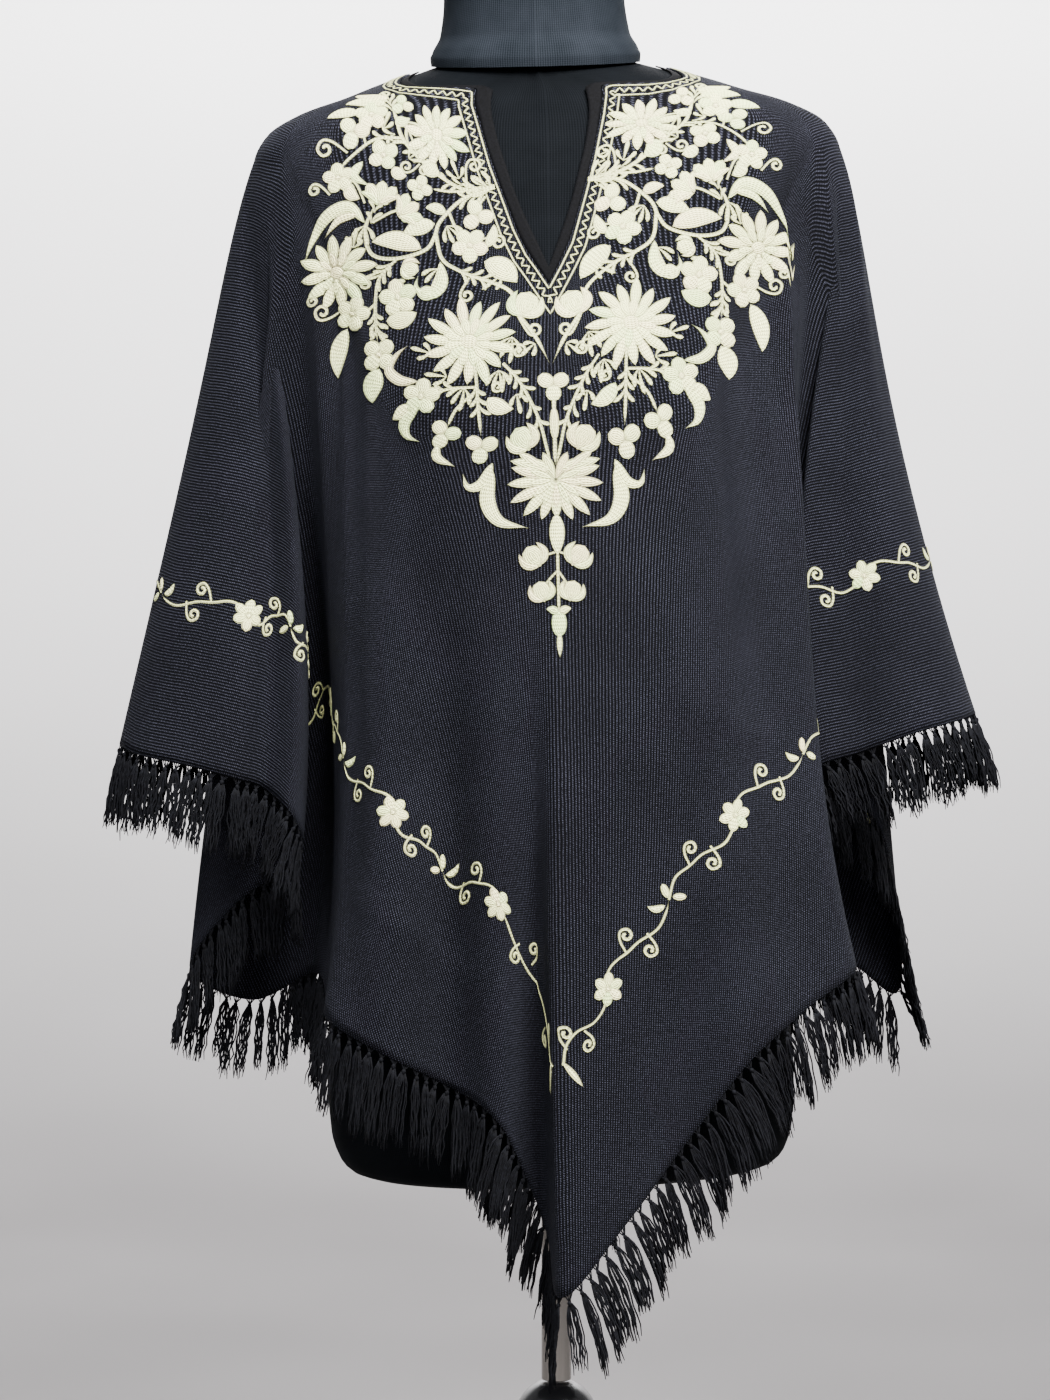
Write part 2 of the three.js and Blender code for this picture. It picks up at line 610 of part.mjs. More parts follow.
function collar() {
  const waist = COLLAR_TOP - COLLAR_RADIUS;
  const dome = DOME_DEGREES.map((degrees) => {
    const turn = degrees * RADIANS;
    return [COLLAR_RADIUS * Math.sin(turn), waist + COLLAR_RADIUS * Math.cos(turn)];
  });
  return turned(
    [
      [0, COLLAR_BOTTOM],
      [TUBE_RADIUS + 4, COLLAR_BOTTOM],
      [COLLAR_RADIUS, waist - COLLAR_FLARE],
      [COLLAR_RADIUS, waist],
      ...dome,
      [0, COLLAR_TOP - 1],
    ],
    TUBE_SIDES,
  );
}

const pole = () => {
  const low = COLLAR_TOP - 1 + TOUCH;
  const high = FORM_BOTTOM - 2 * TOUCH;
  return turned([[0, low], [POLE_RADIUS, low], [POLE_RADIUS, high], [0, high]], POLE_SIDES);
};

const group = new THREE.Group();

function piece(name, shape, shade) {
  shape.computeVertexNormals();
  const mesh = new THREE.Mesh(shape, new THREE.MeshStandardMaterial(SHADES[shade]));
  mesh.name = name;
  group.add(mesh);
}

piece("front_panel", panel(FRONT), "wool");
piece("back_panel", panel(BACK), "wool");
piece("neck_facing", facing(), "facing");
for (const run of FRINGES) piece(run.name, fringe(run), "yarn");
piece("form_torso", torso(), "jersey");
piece("form_neck", neckCover(), "jersey");
piece("stand_pole", pole(), "chrome");
piece("stand_collar", collar(), "plastic");
piece("stand_tube", lowerTube(), "chrome");
piece("stand_base", basePlate(), "enamel");

export default group;
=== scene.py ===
"""A black woollen poncho with a slit neck, cream chain-stitch embroidery and a knotted fringe, worn by a
limbless dress form on a pole stand. Sizes are in millimetres until a mesh is made, which is in metres."""

import math
import random

import bpy
import numpy as np
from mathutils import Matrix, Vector
from mathutils.bvhtree import BVHTree


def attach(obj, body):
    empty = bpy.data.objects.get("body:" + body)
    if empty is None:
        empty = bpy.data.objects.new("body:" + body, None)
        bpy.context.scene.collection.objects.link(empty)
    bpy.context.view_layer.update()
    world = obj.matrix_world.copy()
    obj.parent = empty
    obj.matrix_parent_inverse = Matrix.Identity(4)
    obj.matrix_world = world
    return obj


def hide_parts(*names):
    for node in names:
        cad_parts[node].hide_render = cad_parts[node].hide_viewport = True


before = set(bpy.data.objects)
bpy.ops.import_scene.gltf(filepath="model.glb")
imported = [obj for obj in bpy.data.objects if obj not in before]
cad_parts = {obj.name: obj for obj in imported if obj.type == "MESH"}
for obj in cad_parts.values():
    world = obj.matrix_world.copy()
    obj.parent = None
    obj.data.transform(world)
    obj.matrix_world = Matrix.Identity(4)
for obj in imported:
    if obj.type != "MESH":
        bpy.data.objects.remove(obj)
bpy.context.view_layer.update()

MM = 0.001
BODY = "root"

# Stand
BASE_RADIUS = 175
BASE_THICK = 9
BASE_CROWN = 7
TUBE_RADIUS = 16
COLLAR_RADIUS = 28
COLLAR_TOP = 571
COLLAR_BOTTOM = 505
POLE_RADIUS = 10
TOUCH = 0.3

# Dress form
FORM_BOTTOM = 710
LEAN = 0.0247
SHIFT = 4.4
NECK_RIM = 1451
NECK_TOP = 1541
NECK_SLOPE = 0.24
NECK_TIP_FROM = 1415

# Cloth
THICK = 1.5
CLEAR = 3.0
NECK_SNUG = 1.6
SHOULDER_EASE = 7
LEFT_OPEN = 0.3
LEAVE = 6
# s * s * (1 - s) is 4 / 27 at its most, so that a bow is as wide as its number says.
BOW_FULL = 27 / 4
CELL = 5.2
ON_FORM_ROWS = 42
HANGING_ROWS = 68

# The cut, laid flat: half the width from the neck to the arm edge, the length from the shoulder to the
# point, how far the arm edge runs down from the shoulder, and the radius of the neck.
CUT_HALF_WIDTH = 607
CUT_POINT = 820
CUT_ARM_EDGE = 213
CUT_NECK = 80


def table(names, rows):
    """Rows of numbers as one array for each named column."""
    columns = zip(*rows)
    return {name: np.array(values, float) for name, values in zip(names.split(), columns)}


FORM_SECTIONS = table(
    "z half front back mid",
    [
        (710, 128, 78, 96, 0),
        (714, 140, 89, 108, 0),
        (722, 148, 95, 116, 0),
        (740, 154, 100, 122, 0),
        (775, 156, 103, 125, 0),
        (850, 149, 100, 119, 0),
        (930, 126, 92, 98, 0),
        (980, 119, 91, 88, 0),
        (1060, 125, 104, 88, 0),
        (1140, 134, 121, 94, 0),
        (1190, 140, 127, 99, 1),
        (1240, 146, 120, 103, 2),
        (1290, 155, 105, 104, 4),
        (1330, 168, 93, 101, 5),
        (1360, 181, 83, 96, 5.5),
        (1385, 186, 72, 89, 6),
        (1400, 181, 65, 83, 6),
        (1413, 165, 59, 77, 5.5),
        (1425, 138, 55, 71, 5),
        (1437, 110, 53, 64, 3.5),
        (1447, 79, 52, 58, 1),
        (1451, 66, 50, 55, 0),
    ],
)

NECK_SECTIONS = table(
    "rise half front back",
    [
        (0, 70, 57, 57),
        (5, 70.5, 57.5, 57.5),
        (20, 63.5, 52, 53),
        (45, 60.5, 50, 52),
        (74, 60.5, 50, 52),
        (84, 56, 46, 48),
        (89, 45, 36, 38),
    ],
)

NECK_EDGE = table(
    "angle z facing",
    [
        (0, 1288, 1299),
        (4.5, 1316, 1340),
        (7, 1346, 1376),
        (8.6, 1370, 1401),
        (11, 1402, 1425),
        (17, 1427, 1432),
        (40, 1431, 1434),
        (55, 1436, 1439),
        (70, 1441, 1443),
        (90, 1445, 1447),
        (110, 1440, 1442),
        (130, 1433, 1435),
        (180, 1426, 1428),
    ],
)

HANG_EDGE = table(
    "angle z",
    [
        (0, 1190),
        (24, 1191),
        (36, 1196),
        (46, 1218),
        (54, 1300),
        (60, 1362),
        (66, 1383),
        (90, 1388),
        (115, 1385),
        (130, 1362),
        (150, 1338),
        (180, 1330),
    ],
)

# The folds, from the front point round to the left of someone who wears it and back again: the angle at
# the shoulders, the place at the hem, how far a fold bows sideways and how late it opens.
FOLD_ROWS = [
    ("front_point", 0, -3, -172, 659, 0, 2),
    ("front_flat", 17, 35, -171, 701, 0, 1.4),
    ("front_dip", 30, 73, -157, 747, 0, 1),
    ("front_swell", 43, 112, -163, 796, -2, 1),
    ("right_turn", 53, 152, -141, 828, -8, 1),
    ("right_edge", 59.5, 188, -106, 850, -13, 1),
    ("right_under", 62.5, 175, -64, 857, -20, 1),
    ("right_wall", 65, 172, 4, 860, -22, 1),
    ("right_tuck", 67.5, 204, 33, 838, -6, 1),
    ("right_pleat", 69.5, 233, 34, 823, 2, 1),
    ("right_return", 71.5, 221, 4, 925, -3, 1),
    ("right_valley", 74, 182, -24, 962, -16, 1),
    ("right_flap_in", 76.5, 173, -58, 978, -14, 1),
    ("right_crease", 79.5, 201, -50, 986, -6, 1),
    ("right_flap", 83, 234, -55, 997, -3, 1),
    ("right_flap_out", 87, 268, -35, 1005, -3.5, 1.15),
    ("right_shoulder", 91, 283, 0, 1009, -3.5, 1.15),
    ("right_rear_out", 95, 266, 36, 1003, -3.5, 1.15),
    ("right_rear_flap", 99, 229, 61, 991, 0, 1),
    ("right_rear_in", 103, 190, 66, 970, 0, 1.1),
    ("right_rear_valley", 107, 173, 76, 936, 0, 1.1),
    ("right_rear_pleat", 110, 210, 95, 900, 0, 1.2),
    ("right_rear_tuck", 113, 174, 113, 870, 0, 1.2),
    ("right_rear_edge", 119, 190, 136, 852, 0, 1.2),
    ("right_rear_swell", 131, 156, 160, 826, 0, 1.1),
    ("right_rear_dip", 143, 116, 144, 789, 0, 1.1),
    ("rear_swell_r", 156, 74, 171, 742, 0, 1.1),
    ("rear_dip_r", 168, 36, 158, 697, 0, 1.1),
    ("rear_point", 180, 2, 174, 657, 0, 1.1),
    ("rear_dip_l", 193, -39, 157, 699, 0, 1.1),
    ("rear_swell_l", 205, -80, 168, 745, 0, 1.1),
    ("left_rear_dip", 217, -117, 147, 789, 0, 1.1),
    ("left_rear_swell", 229, -153, 161, 826, 0, 1.1),
    ("left_rear_edge", 241, -187, 138, 852, 0, 1.2),
    ("left_rear_tuck", 247, -172, 113, 870, 0, 1.2),
    ("left_rear_pleat", 250, -208, 95, 900, 0, 1.2),
    ("left_rear_valley", 253, -172, 76, 936, 0, 1.1),
    ("left_rear_in", 257, -190, 65, 970, 0, 1.1),
    ("left_rear_flap", 261, -230, 60, 987, 0, 1),
    ("left_rear_out", 265, -271, 35, 997, 0, 1),
    ("left_shoulder", 269, -289, 0, 1003, 0, 1),
    ("left_flap_out", 273, -274, -33, 996, 0, 1),
    ("left_flap", 276.5, -239, -54, 988, 2, 1),
    ("left_flap_in", 280, -207, -60, 979, 3, 1.2),
    ("left_crease", 283, -190, -45, 972, 5, 1.3),
    ("left_strip", 286, -171, -61, 955, 9, 1.3),
    ("left_valley", 289, -168, -34, 928, 10, 1.3),
    ("left_return", 291, -214, -17, 894, 0, 1.3),
    ("left_pleat", 293, -247, 8, 850, -4, 1.3),
    ("left_tuck", 295, -208, 24, 827, 3, 1.3),
    ("left_wall", 297.5, -165, 3, 846, 14, 1.3),
    ("left_under", 300, -151, -60, 836, 12, 1.3),
    ("left_edge", 304, -147, -104, 825, 12, 1.2),
    ("left_swell", 317, -107, -129, 803, 0, 1.2),
    ("left_dip", 330, -70, -111, 781, 0, 1.4),
    ("left_flute", 343, -40, -128, 760, 0, 1.6),
    ("front_step", 354, -14, -116, 697, 0, 2),
]
FOLD_NAMES = [row[0] for row in FOLD_ROWS]
FOLDS = table("angle x y z bow late", [row[1:] for row in FOLD_ROWS])
FOLD_COUNT = len(FOLD_ROWS)

# The soft creases that the cloth keeps from being folded and worn, on the front and alike on the back:
# two ends as seen from that side, the half width and the height, which is negative for a trough.
CREASES = [
    ("store_right", 124, 808, 60, 708, 9, -2.2),
    ("store_cross", 70, 1032, 138, 995, 8, 1.6),
    ("pull_right", 110, 1250, 60, 1080, 16, 1.5),
    ("flute_a", -108, 1090, -112, 830, 17, 5.0),
    ("flute_b", -66, 1060, -70, 770, 12, -4.6),
    ("flute_c", -36, 1080, -38, 760, 13, 4.0),
    ("flute_d", 2, 1040, -2, 700, 9, 3.4),
    ("flute_e", 40, 1000, 52, 780, 18, -2.6),
    ("shoulder_left", -150, 1404, -196, 1368, 7, -1.6),
    ("shoulder_right", 120, 1380, 160, 1250, 10, 1.4),
    ("pull_left", -96, 1300, -60, 1120, 15, 1.4),
    ("hem_left", -130, 905, -60, 850, 9, 1.6),
]


def mix(a, b, t):
    return a + (b - a) * t


def step(low, high, value):
    t = np.clip((value - low) / (high - low), 0, 1)
    return t * t * (3 - 2 * t)


def smooth(rows, at, key, value):
    """A smooth curve through a table that never swings past its rows."""
    x, y = rows[at], rows[key]
    rate = np.diff(y) / np.diff(x)
    slope = np.concatenate(([rate[0]], np.zeros(len(x) - 2), [rate[-1]]))
    a, b = rate[:-1], rate[1:]
    same = a * b > 0
    slope[1:-1][same] = 2 * a[same] * b[same] / (a[same] + b[same])
    value = np.clip(value, x[0], x[-1])
    i = np.clip(np.searchsorted(x, value, side="left") - 1, 0, len(x) - 2)
    h = x[i + 1] - x[i]
    t = (value - x[i]) / h
    low = (1 + 2 * t) * (1 - t) ** 2 * y[i] + t * (1 - t) ** 2 * h * slope[i]
    return low + t * t * (3 - 2 * t) * y[i + 1] + t * t * (t - 1) * h * slope[i + 1]


def from_front(angle):
    turned = np.mod(angle, 360)
    return np.where(turned > 180, 360 - turned, turned)


def neck_side(angle):
    """As from_front, for the neck edge only: the slit stands wider open on the left."""
    side = from_front(angle)
    return np.where(np.sin(np.radians(angle)) < 0, side / (1 + LEFT_OPEN * step(30, 12, side)), side)


def neck_height(angle, of="z"):
    return smooth(NECK_EDGE, "angle", of, neck_side(angle))


def unit(v):
    return v / np.maximum(np.linalg.norm(v, axis=-1, keepdims=True), 1e-9)


def walked(line):
    """How far along a line, or each of several side by side, its points lie."""
    legs = np.linalg.norm(np.diff(line, axis=0), axis=-1)
    return np.concatenate([np.zeros((1, *legs.shape[1:])), np.cumsum(legs, axis=0)])


def even_line(line, gap, least=2):
    """The same line as points an even gap apart, and at least so many."""
    lengths = walked(line)
    walk = np.linspace(0, lengths[-1], max(least, math.ceil(lengths[-1] / gap) + 1))
    return np.stack([np.interp(walk, lengths, column) for column in line.T], axis=-1)


def form_point(angle, z):
    """A point of the form's skin. Its level sections tip forward as they near the root of the neck."""
    turn = np.radians(angle)
    depth = np.where(
        np.cos(turn) > 0,
        smooth(FORM_SECTIONS, "z", "front", z),
        smooth(FORM_SECTIONS, "z", "back", z),
    )
    middle = smooth(FORM_SECTIONS, "z", "mid", z)
    x = middle + smooth(FORM_SECTIONS, "z", "half", z) * np.sin(turn)
    y = -depth * np.cos(turn)
    return np.stack([x, y, z + NECK_SLOPE * y * step(NECK_TIP_FROM, NECK_RIM, z)], axis=-1)


def form_normal(angle, z):
    across = form_point(angle + 0.5, z) - form_point(angle - 0.5, z)
    up = form_point(angle, z + 0.5) - form_point(angle, z - 0.5)
    return unit(np.cross(across, up))


def on_form(angle, z):
    """The middle of the cloth where the form carries it. It stands off the outside of the shoulders and
    lies close round the neck."""
    side = from_front(angle)
    stand = SHOULDER_EASE * step(38, 72, side) * step(140, 105, side) * step(1430, 1385, z)
    snug = NECK_SNUG * step(1418, 1440, z)
    return form_point(angle, z) + form_normal(angle, z) * (CLEAR + stand - snug)[..., None]


def lean(points):
    """The garment and the form lean together about the foot of the form."""
    c, s = math.cos(LEAN), math.sin(LEAN)
    x, y, z = points[..., 0], points[..., 1], points[..., 2] - FORM_BOTTOM
    return np.stack([x * c - z * s + SHIFT, y, x * s + z * c + FORM_BOTTOM], axis=-1)


def hem_curve(at):
    """The hem as a closed centripetal spline through FOLDS."""
    points = np.stack([FOLDS["x"], FOLDS["y"], FOLDS["z"]], axis=-1)
    row = np.floor(at).astype(int)
    t = (at - row)[:, None]
    p = [points[(row + k) % FOLD_COUNT] for k in (-1, 0, 1, 2)]
    gap = [np.sqrt(np.linalg.norm((b - a)[:, :2], axis=1))[:, None] for a, b in zip(p, p[1:])]
    out = ((p[1] - p[0]) / gap[0] - (p[2] - p[0]) / (gap[0] + gap[1]) + (p[2] - p[1]) / gap[1]) * gap[1]
    back = ((p[2] - p[1]) / gap[1] - (p[3] - p[1]) / (gap[1] + gap[2]) + (p[3] - p[2]) / gap[2]) * gap[1]
    a = 2 * p[1] - 2 * p[2] + out + back
    b = -3 * p[1] + 3 * p[2] - 2 * out - back
    return ((a * t + b) * t + out) * t + p[1]


def fold_value(key, at, eased=False):
    row = np.floor(at).astype(int)
    t = at - row
    if eased:
        t = t * t * (3 - 2 * t)
    a = FOLDS[key][row % FOLD_COUNT]
    b = FOLDS[key][(row + 1) % FOLD_COUNT]
    if key == "angle":
        b = np.where(b < a, b + 360, b)
    return mix(a, b, t)


def cloth(at, on_rows, hang_rows, top=None):
    """The middle of the cloth as rows of points, for the places at in FOLDS. The first rows lie on the
    form, from the neck edge or a given height, and the others hang free down to the hem."""
    angle = fold_value("angle", at)
    side = from_front(angle)
    neck = neck_height(angle) if top is None else np.full(len(at), float(top))
    hang = smooth(HANG_EDGE, "angle", "z", side)
    samples = 24
    steps = np.linspace(0, 1, samples + 1)[:, None]
    heights = mix(neck, hang, steps)
    profile = form_point(np.broadcast_to(angle, heights.shape), heights)
    lengths = walked(profile)
    rows = []
    for share in np.linspace(0, 1, on_rows + 1)[:-1]:
        z = [np.interp(share * lengths[-1, i], lengths[:, i], heights[:, i]) for i in range(len(at))]
        rows.append(on_form(angle, np.array(z)))
    start = on_form(angle, hang)
    before = on_form(angle, hang + 2)
    hem = hem_curve(at)
    bow = fold_value("bow", at, eased=True)
    late = fold_value("late", at, eased=True)
    drop = (start[:, 2] - hem[:, 2])[:, None] / 2
    away = (start - before)[:, :2] * drop - (hem - start)[:, :2]
    for s in np.linspace(0, 1, hang_rows + 1):
        point = mix(start, hem, s)
        point[:, :2] = mix(start[:, :2], hem[:, :2], (s**late)[:, None])
        point[:, 0] += bow * BOW_FULL * s * s * (1 - s)
        point[:, :2] += away * s * (1 - s) ** LEAVE
        rows.append(point)
    return lean(np.array(rows))


def grid_normals(grid, closed=False):
    if closed:
        wide = np.concatenate([grid[:, -2:-1], grid, grid[:, 1:2]], axis=1)
        across = wide[:, 2:] - wide[:, :-2]
    else:
        across = np.gradient(grid, axis=1)
    up = -np.gradient(grid, axis=0)
    return unit(np.cross(across, up))


def crease(grid, normals):
    """Presses the creases into the front and the back."""
    lift = np.zeros(grid.shape[:2])
    for facing in (-1, 1):
        seen = step(0.15, 0.6, facing * normals[..., 1])
        for _, x0, z0, x1, z1, half, height in CREASES:
            a = np.array([-facing * x0, z0])
            b = np.array([-facing * x1, z1])
            along = b - a
            rel = grid[..., [0, 2]] - a
            t = (rel @ along) / (along @ along)
            near = rel - np.clip(t, 0, 1)[..., None] * along
            fall = np.exp(-((np.linalg.norm(near, axis=-1) / half) ** 2))
            lift += seen * height * fall * np.sin(np.pi * np.clip(mix(0.12, 0.88, t), 0, 1))
    return grid + normals * lift[..., None]


def places(from_name, to_name):
    """Places along the hem about a cell apart, from one fold to another."""
    first = FOLD_NAMES.index(from_name)
    last = FOLD_NAMES.index(to_name)
    if last <= first:
        last += FOLD_COUNT
    spots = []
    for row in range(first, last):
        ends = hem_curve(np.array([row, row + 0.999]))
        count = max(2, math.ceil(np.linalg.norm(ends[1] - ends[0]) / CELL))
        spots += [row + i / count for i in range(count)]
    return np.array(spots + [float(last)])


def cut_place(grid, middle, quarter, share):
    """Where the cloth lies in the flat cut, across and down from the middle of the neck, by the lengths
    of its rows in each quarter; middle is the column between the two quarters of the piece."""
    gone = walked(grid.swapaxes(0, 1)).T
    half = gone[:, middle : middle + 1]
    rest = gone[:, -1:] - half
    way = quarter + np.where(gone <= half, gone / half, 1 + (gone - half) / rest)
    slant = math.hypot(CUT_HALF_WIDTH, CUT_POINT - CUT_ARM_EDGE)
    slant_part = slant / (slant + CUT_ARM_EDGE)
    stations, corners = [], []
    for k, (sx, sy) in enumerate([(1, -1), (1, 1), (-1, 1), (-1, -1)]):
        arm = (sx * CUT_HALF_WIDTH, sy * CUT_ARM_EDGE)
        stations += [k, k + (1 - slant_part if k % 2 else slant_part)]
        corners += [(arm[0], 0) if k % 2 else (0, sy * CUT_POINT), arm]
    stations.append(4)
    corners.append((0, -CUT_POINT))
    edge = np.stack([np.interp(way % 4, stations, [c[i] for c in corners]) for i in (0, 1)], axis=-1)
    turn = way * math.pi / 2
    neck = CUT_NECK * np.stack([np.sin(turn), -np.cos(turn)], axis=-1)
    return mix(neck, edge, share[:, None, None])


def mesh_object(name, points, faces, material=None):
    mesh = bpy.data.meshes.new(name)
    mesh.from_pydata((np.asarray(points) * MM).tolist(), [], faces)
    mesh.validate()
    mesh.shade_smooth()
    piece = bpy.data.objects.new(name, mesh)
    bpy.context.scene.collection.objects.link(piece)
    if material:
        mesh.materials.append(material)
    return piece


def grid_faces(rows, columns, wrap=False):
    faces = []
    for r in range(rows - 1):
        for c in range(columns if wrap else columns - 1):
            d = (c + 1) % columns
            faces.append((r * columns + c, (r + 1) * columns + c, (r + 1) * columns + d, r * columns + d))
    return faces


def keep(piece, slot, *nodes):
    """Rides the piece on the part's one body and hides the solids that it stands for. Its slot is not used.
    """
    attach(piece, BODY)
    if nodes:
        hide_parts(*nodes)
    return piece


def set_map(piece, name, flat):
    """Stores each point's place on a flat map, in metres, for the weave or the stitches."""
    layer = piece.data.uv_layers.new(name=name)
    spots = np.zeros(len(piece.data.loops), int)
    piece.data.loops.foreach_get("vertex_index", spots)
    layer.data.foreach_set("uv", (np.reshape(flat, (-1, 2)) * MM)[spots].astype(np.float32).ravel())


def thicken(piece, thick):
    """Gives a sheet its thickness, half of it on either side."""
    shell = piece.modifiers.new("thickness", "SOLIDIFY")
    shell.thickness = thick * MM
    shell.offset = 0


class Term:
    """An output of a material's node, to be used in sums."""

    def __init__(self, nodes, node, output=0):
        self.nodes, self.node, self.output = nodes, node, output

    def __getitem__(self, output):
        return Term(self.nodes, self.node, output)

    def __add__(self, other):
        return self.nodes.math("ADD", self, other)

    def __mul__(self, other):
        return self.nodes.math("MULTIPLY", self, other)

    def wave(self, pitch, kind="SINE"):
        return self.nodes.math(kind, self * (2 * math.pi / pitch))


class Nodes:
    """A short way to write a material's nodes."""

    def __init__(self, name, base, roughness, **sockets):
        self.material = bpy.data.materials.new(name)
        self.material.use_nodes = True
        self.tree = self.material.node_tree
        self.shader = self.tree.nodes["Principled BSDF"]
        self.feed(self.shader, Base_Color=(*base, 1), Roughness=roughness, **sockets)

    def plug(self, socket, value):
        if isinstance(value, Term):
            self.tree.links.new(value.node.outputs[value.output], socket)
        else:
            socket.default_value = value

    def feed(self, node, **settings):
        """Gives a node's inputs, or else its settings, a value or a term."""
        for key, value in settings.items():
            socket = key.replace("_", " ")
            if socket in node.inputs:
                self.plug(node.inputs[socket], value)
            else:
                setattr(node, key, value)

    def add(self, kind, **settings):
        node = self.tree.nodes.new("ShaderNode" + kind)
        self.feed(node, **settings)
        return Term(self, node)

    def math(self, operation, *values):
        term = self.add("Math", operation=operation)
        for socket, value in zip(term.node.inputs, values):
            self.plug(socket, value)
        return term

    def noise(self, spot, scale, detail, roughness=0.5):
        return self.add("TexNoise", Vector=spot, Scale=scale, Detail=detail, Roughness=roughness)

    def ramp(self, factor, stops):
        term = self.add("ValToRGB", Fac=factor)
        elements = term.node.color_ramp.elements
        while len(elements) < len(stops):
            elements.new(0.5)
        for element, (place, colour) in zip(elements, stops):
            element.position = place
            element.color = (*colour, 1)
        return term

    def bump(self, height, strength, distance, **normal):
        return self.add("Bump", Strength=strength, Distance=distance, Height=height, **normal)

    def finish(self, colour, **others):
        self.feed(self.shader, Base_Color=colour, **others)
        return self.material


WOOL_DARK = (0.0003, 0.0003, 0.0006)
WOOL_MIDDLE = (0.0017, 0.0018, 0.003)
WOOL_LIGHT = (0.062, 0.064, 0.092)
RIB_PITCH = 0.002
RIB_WANDER = 0.0009
PICK_PITCH = 0.0015


def wool_material():
    """Fine warp ribs with picks across them and a little lint, in the directions of the cut."""
    sheen = dict(Sheen_Weight=0.02, Sheen_Roughness=0.45, Sheen_Tint=(0.5, 0.54, 0.68, 1))
    m = Nodes("wool", WOOL_DARK, 0.88, Specular_IOR_Level=0.06, **sheen)
    cut = m.add("UVMap", uv_map="cut")
    parts = m.add("SeparateXYZ", Vector=cut)
    rib = (parts[0] + m.noise(cut, 60, 2) * RIB_WANDER).wave(RIB_PITCH)
    pick = (parts[1] + rib * (PICK_PITCH / 4)).wave(PICK_PITCH)
    level = (rib * 0.5 + pick * 0.3) * 0.5 + 0.5
    fibres = m.noise(cut, 900, 3, 0.7)
    tone = level * (m.noise(cut, 14, 3) * 0.2 + 0.85) * 0.55 + fibres * 0.5
    colour = m.ramp(tone, [(0.4, WOOL_DARK), (0.58, WOOL_MIDDLE), (0.86, WOOL_LIGHT)])
    coarse = m.bump(level, 0.8, 0.0007)
    return m.finish(colour, Normal=m.bump(fibres, 0.5, 0.0004, Normal=coarse))


JERSEY_DARK = (0.0002, 0.0003, 0.0004)
JERSEY_LIGHT = (0.0012, 0.0014, 0.0018)
# How light the knit is on the torso and on the neck's cover. The neck's copy is four times lighter: painted
# light for the top light that falls on the neck.
TORSO_LEVEL = 3.5
NECK_LIT_LEVEL = 14
WALE_PITCH = 0.0016
COURSE_PITCH = 0.0012


def jersey_material(name, level):
    """A plain fine knit: short rows of stitches that run up the form."""
    m = Nodes(name, (0.004, 0.005, 0.006), 0.75, Specular_IOR_Level=0.02)
    spot = m.add("UVMap", uv_map="cut")
    parts = m.add("SeparateXYZ", Vector=spot)
    knit = (parts[0].wave(WALE_PITCH) + parts[1].wave(COURSE_PITCH) * 0.5) * 0.33 + 0.5
    tone = knit * 0.5 + m.noise(spot, 40, 4) * 0.5
    dark, light = (tuple(level * v for v in tint) for tint in (JERSEY_DARK, JERSEY_LIGHT))
    return m.finish(m.ramp(tone, [(0.2, dark), (0.9, light)]), Normal=m.bump(knit, 0.4, 0.0003))


def plain_material(name, base, roughness, dust_scale, **sockets):
    """A hard finish whose gloss varies a little over the surface."""
    m = Nodes(name, base, roughness, **sockets)
    noise = m.noise(m.add("TexCoord")["Object"], dust_scale, 5)
    m.feed(m.shader, Roughness=m.math("MULTIPLY_ADD", noise, roughness * 0.5, roughness * 0.75))
    return m.material


def thread_stock(name, base, scale, stops, relief, **sockets):
    """Plain dark thread whose tone varies along it."""
    m = Nodes(name, base, 0.8, **sockets)
    noise = m.noise(m.add("TexCoord")["Object"], scale, 3)
    return m.finish(m.ramp(noise, stops), Normal=m.bump(noise, *relief))


def yarn_material():
    return thread_stock(
        "yarn",
        (0.0015, 0.0016, 0.0024),
        500,
        [(0.3, (0.0006, 0.0006, 0.0009)), (0.75, (0.0042, 0.0045, 0.0066))],
        (0.5, 0.0004),
        Sheen_Weight=0.01,
        Specular_IOR_Level=0.08,
        Sheen_Tint=(0.6, 0.62, 0.75, 1),
    )


WOOL = wool_material()
JERSEY = jersey_material("jersey", TORSO_LEVEL)
# The neck's cover gets a lighter copy of the same knit: painted light.
NECK_LIT_JERSEY = jersey_material("neck_jersey_painted_light", NECK_LIT_LEVEL)
YARN = yarn_material()
CHROME = plain_material("chrome", (0.36, 0.34, 0.315), 0.08, 30, Metallic=1.0)
PLASTIC = plain_material("plastic", (0.008, 0.008, 0.009), 0.25, 60, Coat_Weight=0.3)
ENAMEL = plain_material("enamel", (0.012, 0.012, 0.013), 0.4, 25)


PANELS = {}


def make_panel(name, from_name, middle_name, to_name, quarter, node):
    at = places(from_name, to_name)
    grid = cloth(at, ON_FORM_ROWS, HANGING_ROWS)
    normals = grid_normals(grid)
    grid = crease(grid, normals)
    PANELS[name] = (at, grid, normals)
    rows, columns = grid.shape[:2]
    share = walked(grid).mean(axis=1)
    piece = mesh_object(name, grid.reshape(-1, 3), grid_faces(rows, columns), WOOL)
    row = FOLD_NAMES.index(middle_name)
    middle = np.argmin(abs(at - row - FOLD_COUNT * (row < at[0])))
    set_map(piece, "cut", cut_place(grid, middle, quarter, share / share[-1]))
    thicken(piece, THICK)
    return keep(piece, "wool", node)


front = make_panel("front_cloth", "left_shoulder", "front_point", "right_shoulder", 3, "front_panel")
back = make_panel("back_cloth", "right_shoulder", "rear_point", "left_shoulder", 1, "back_panel")


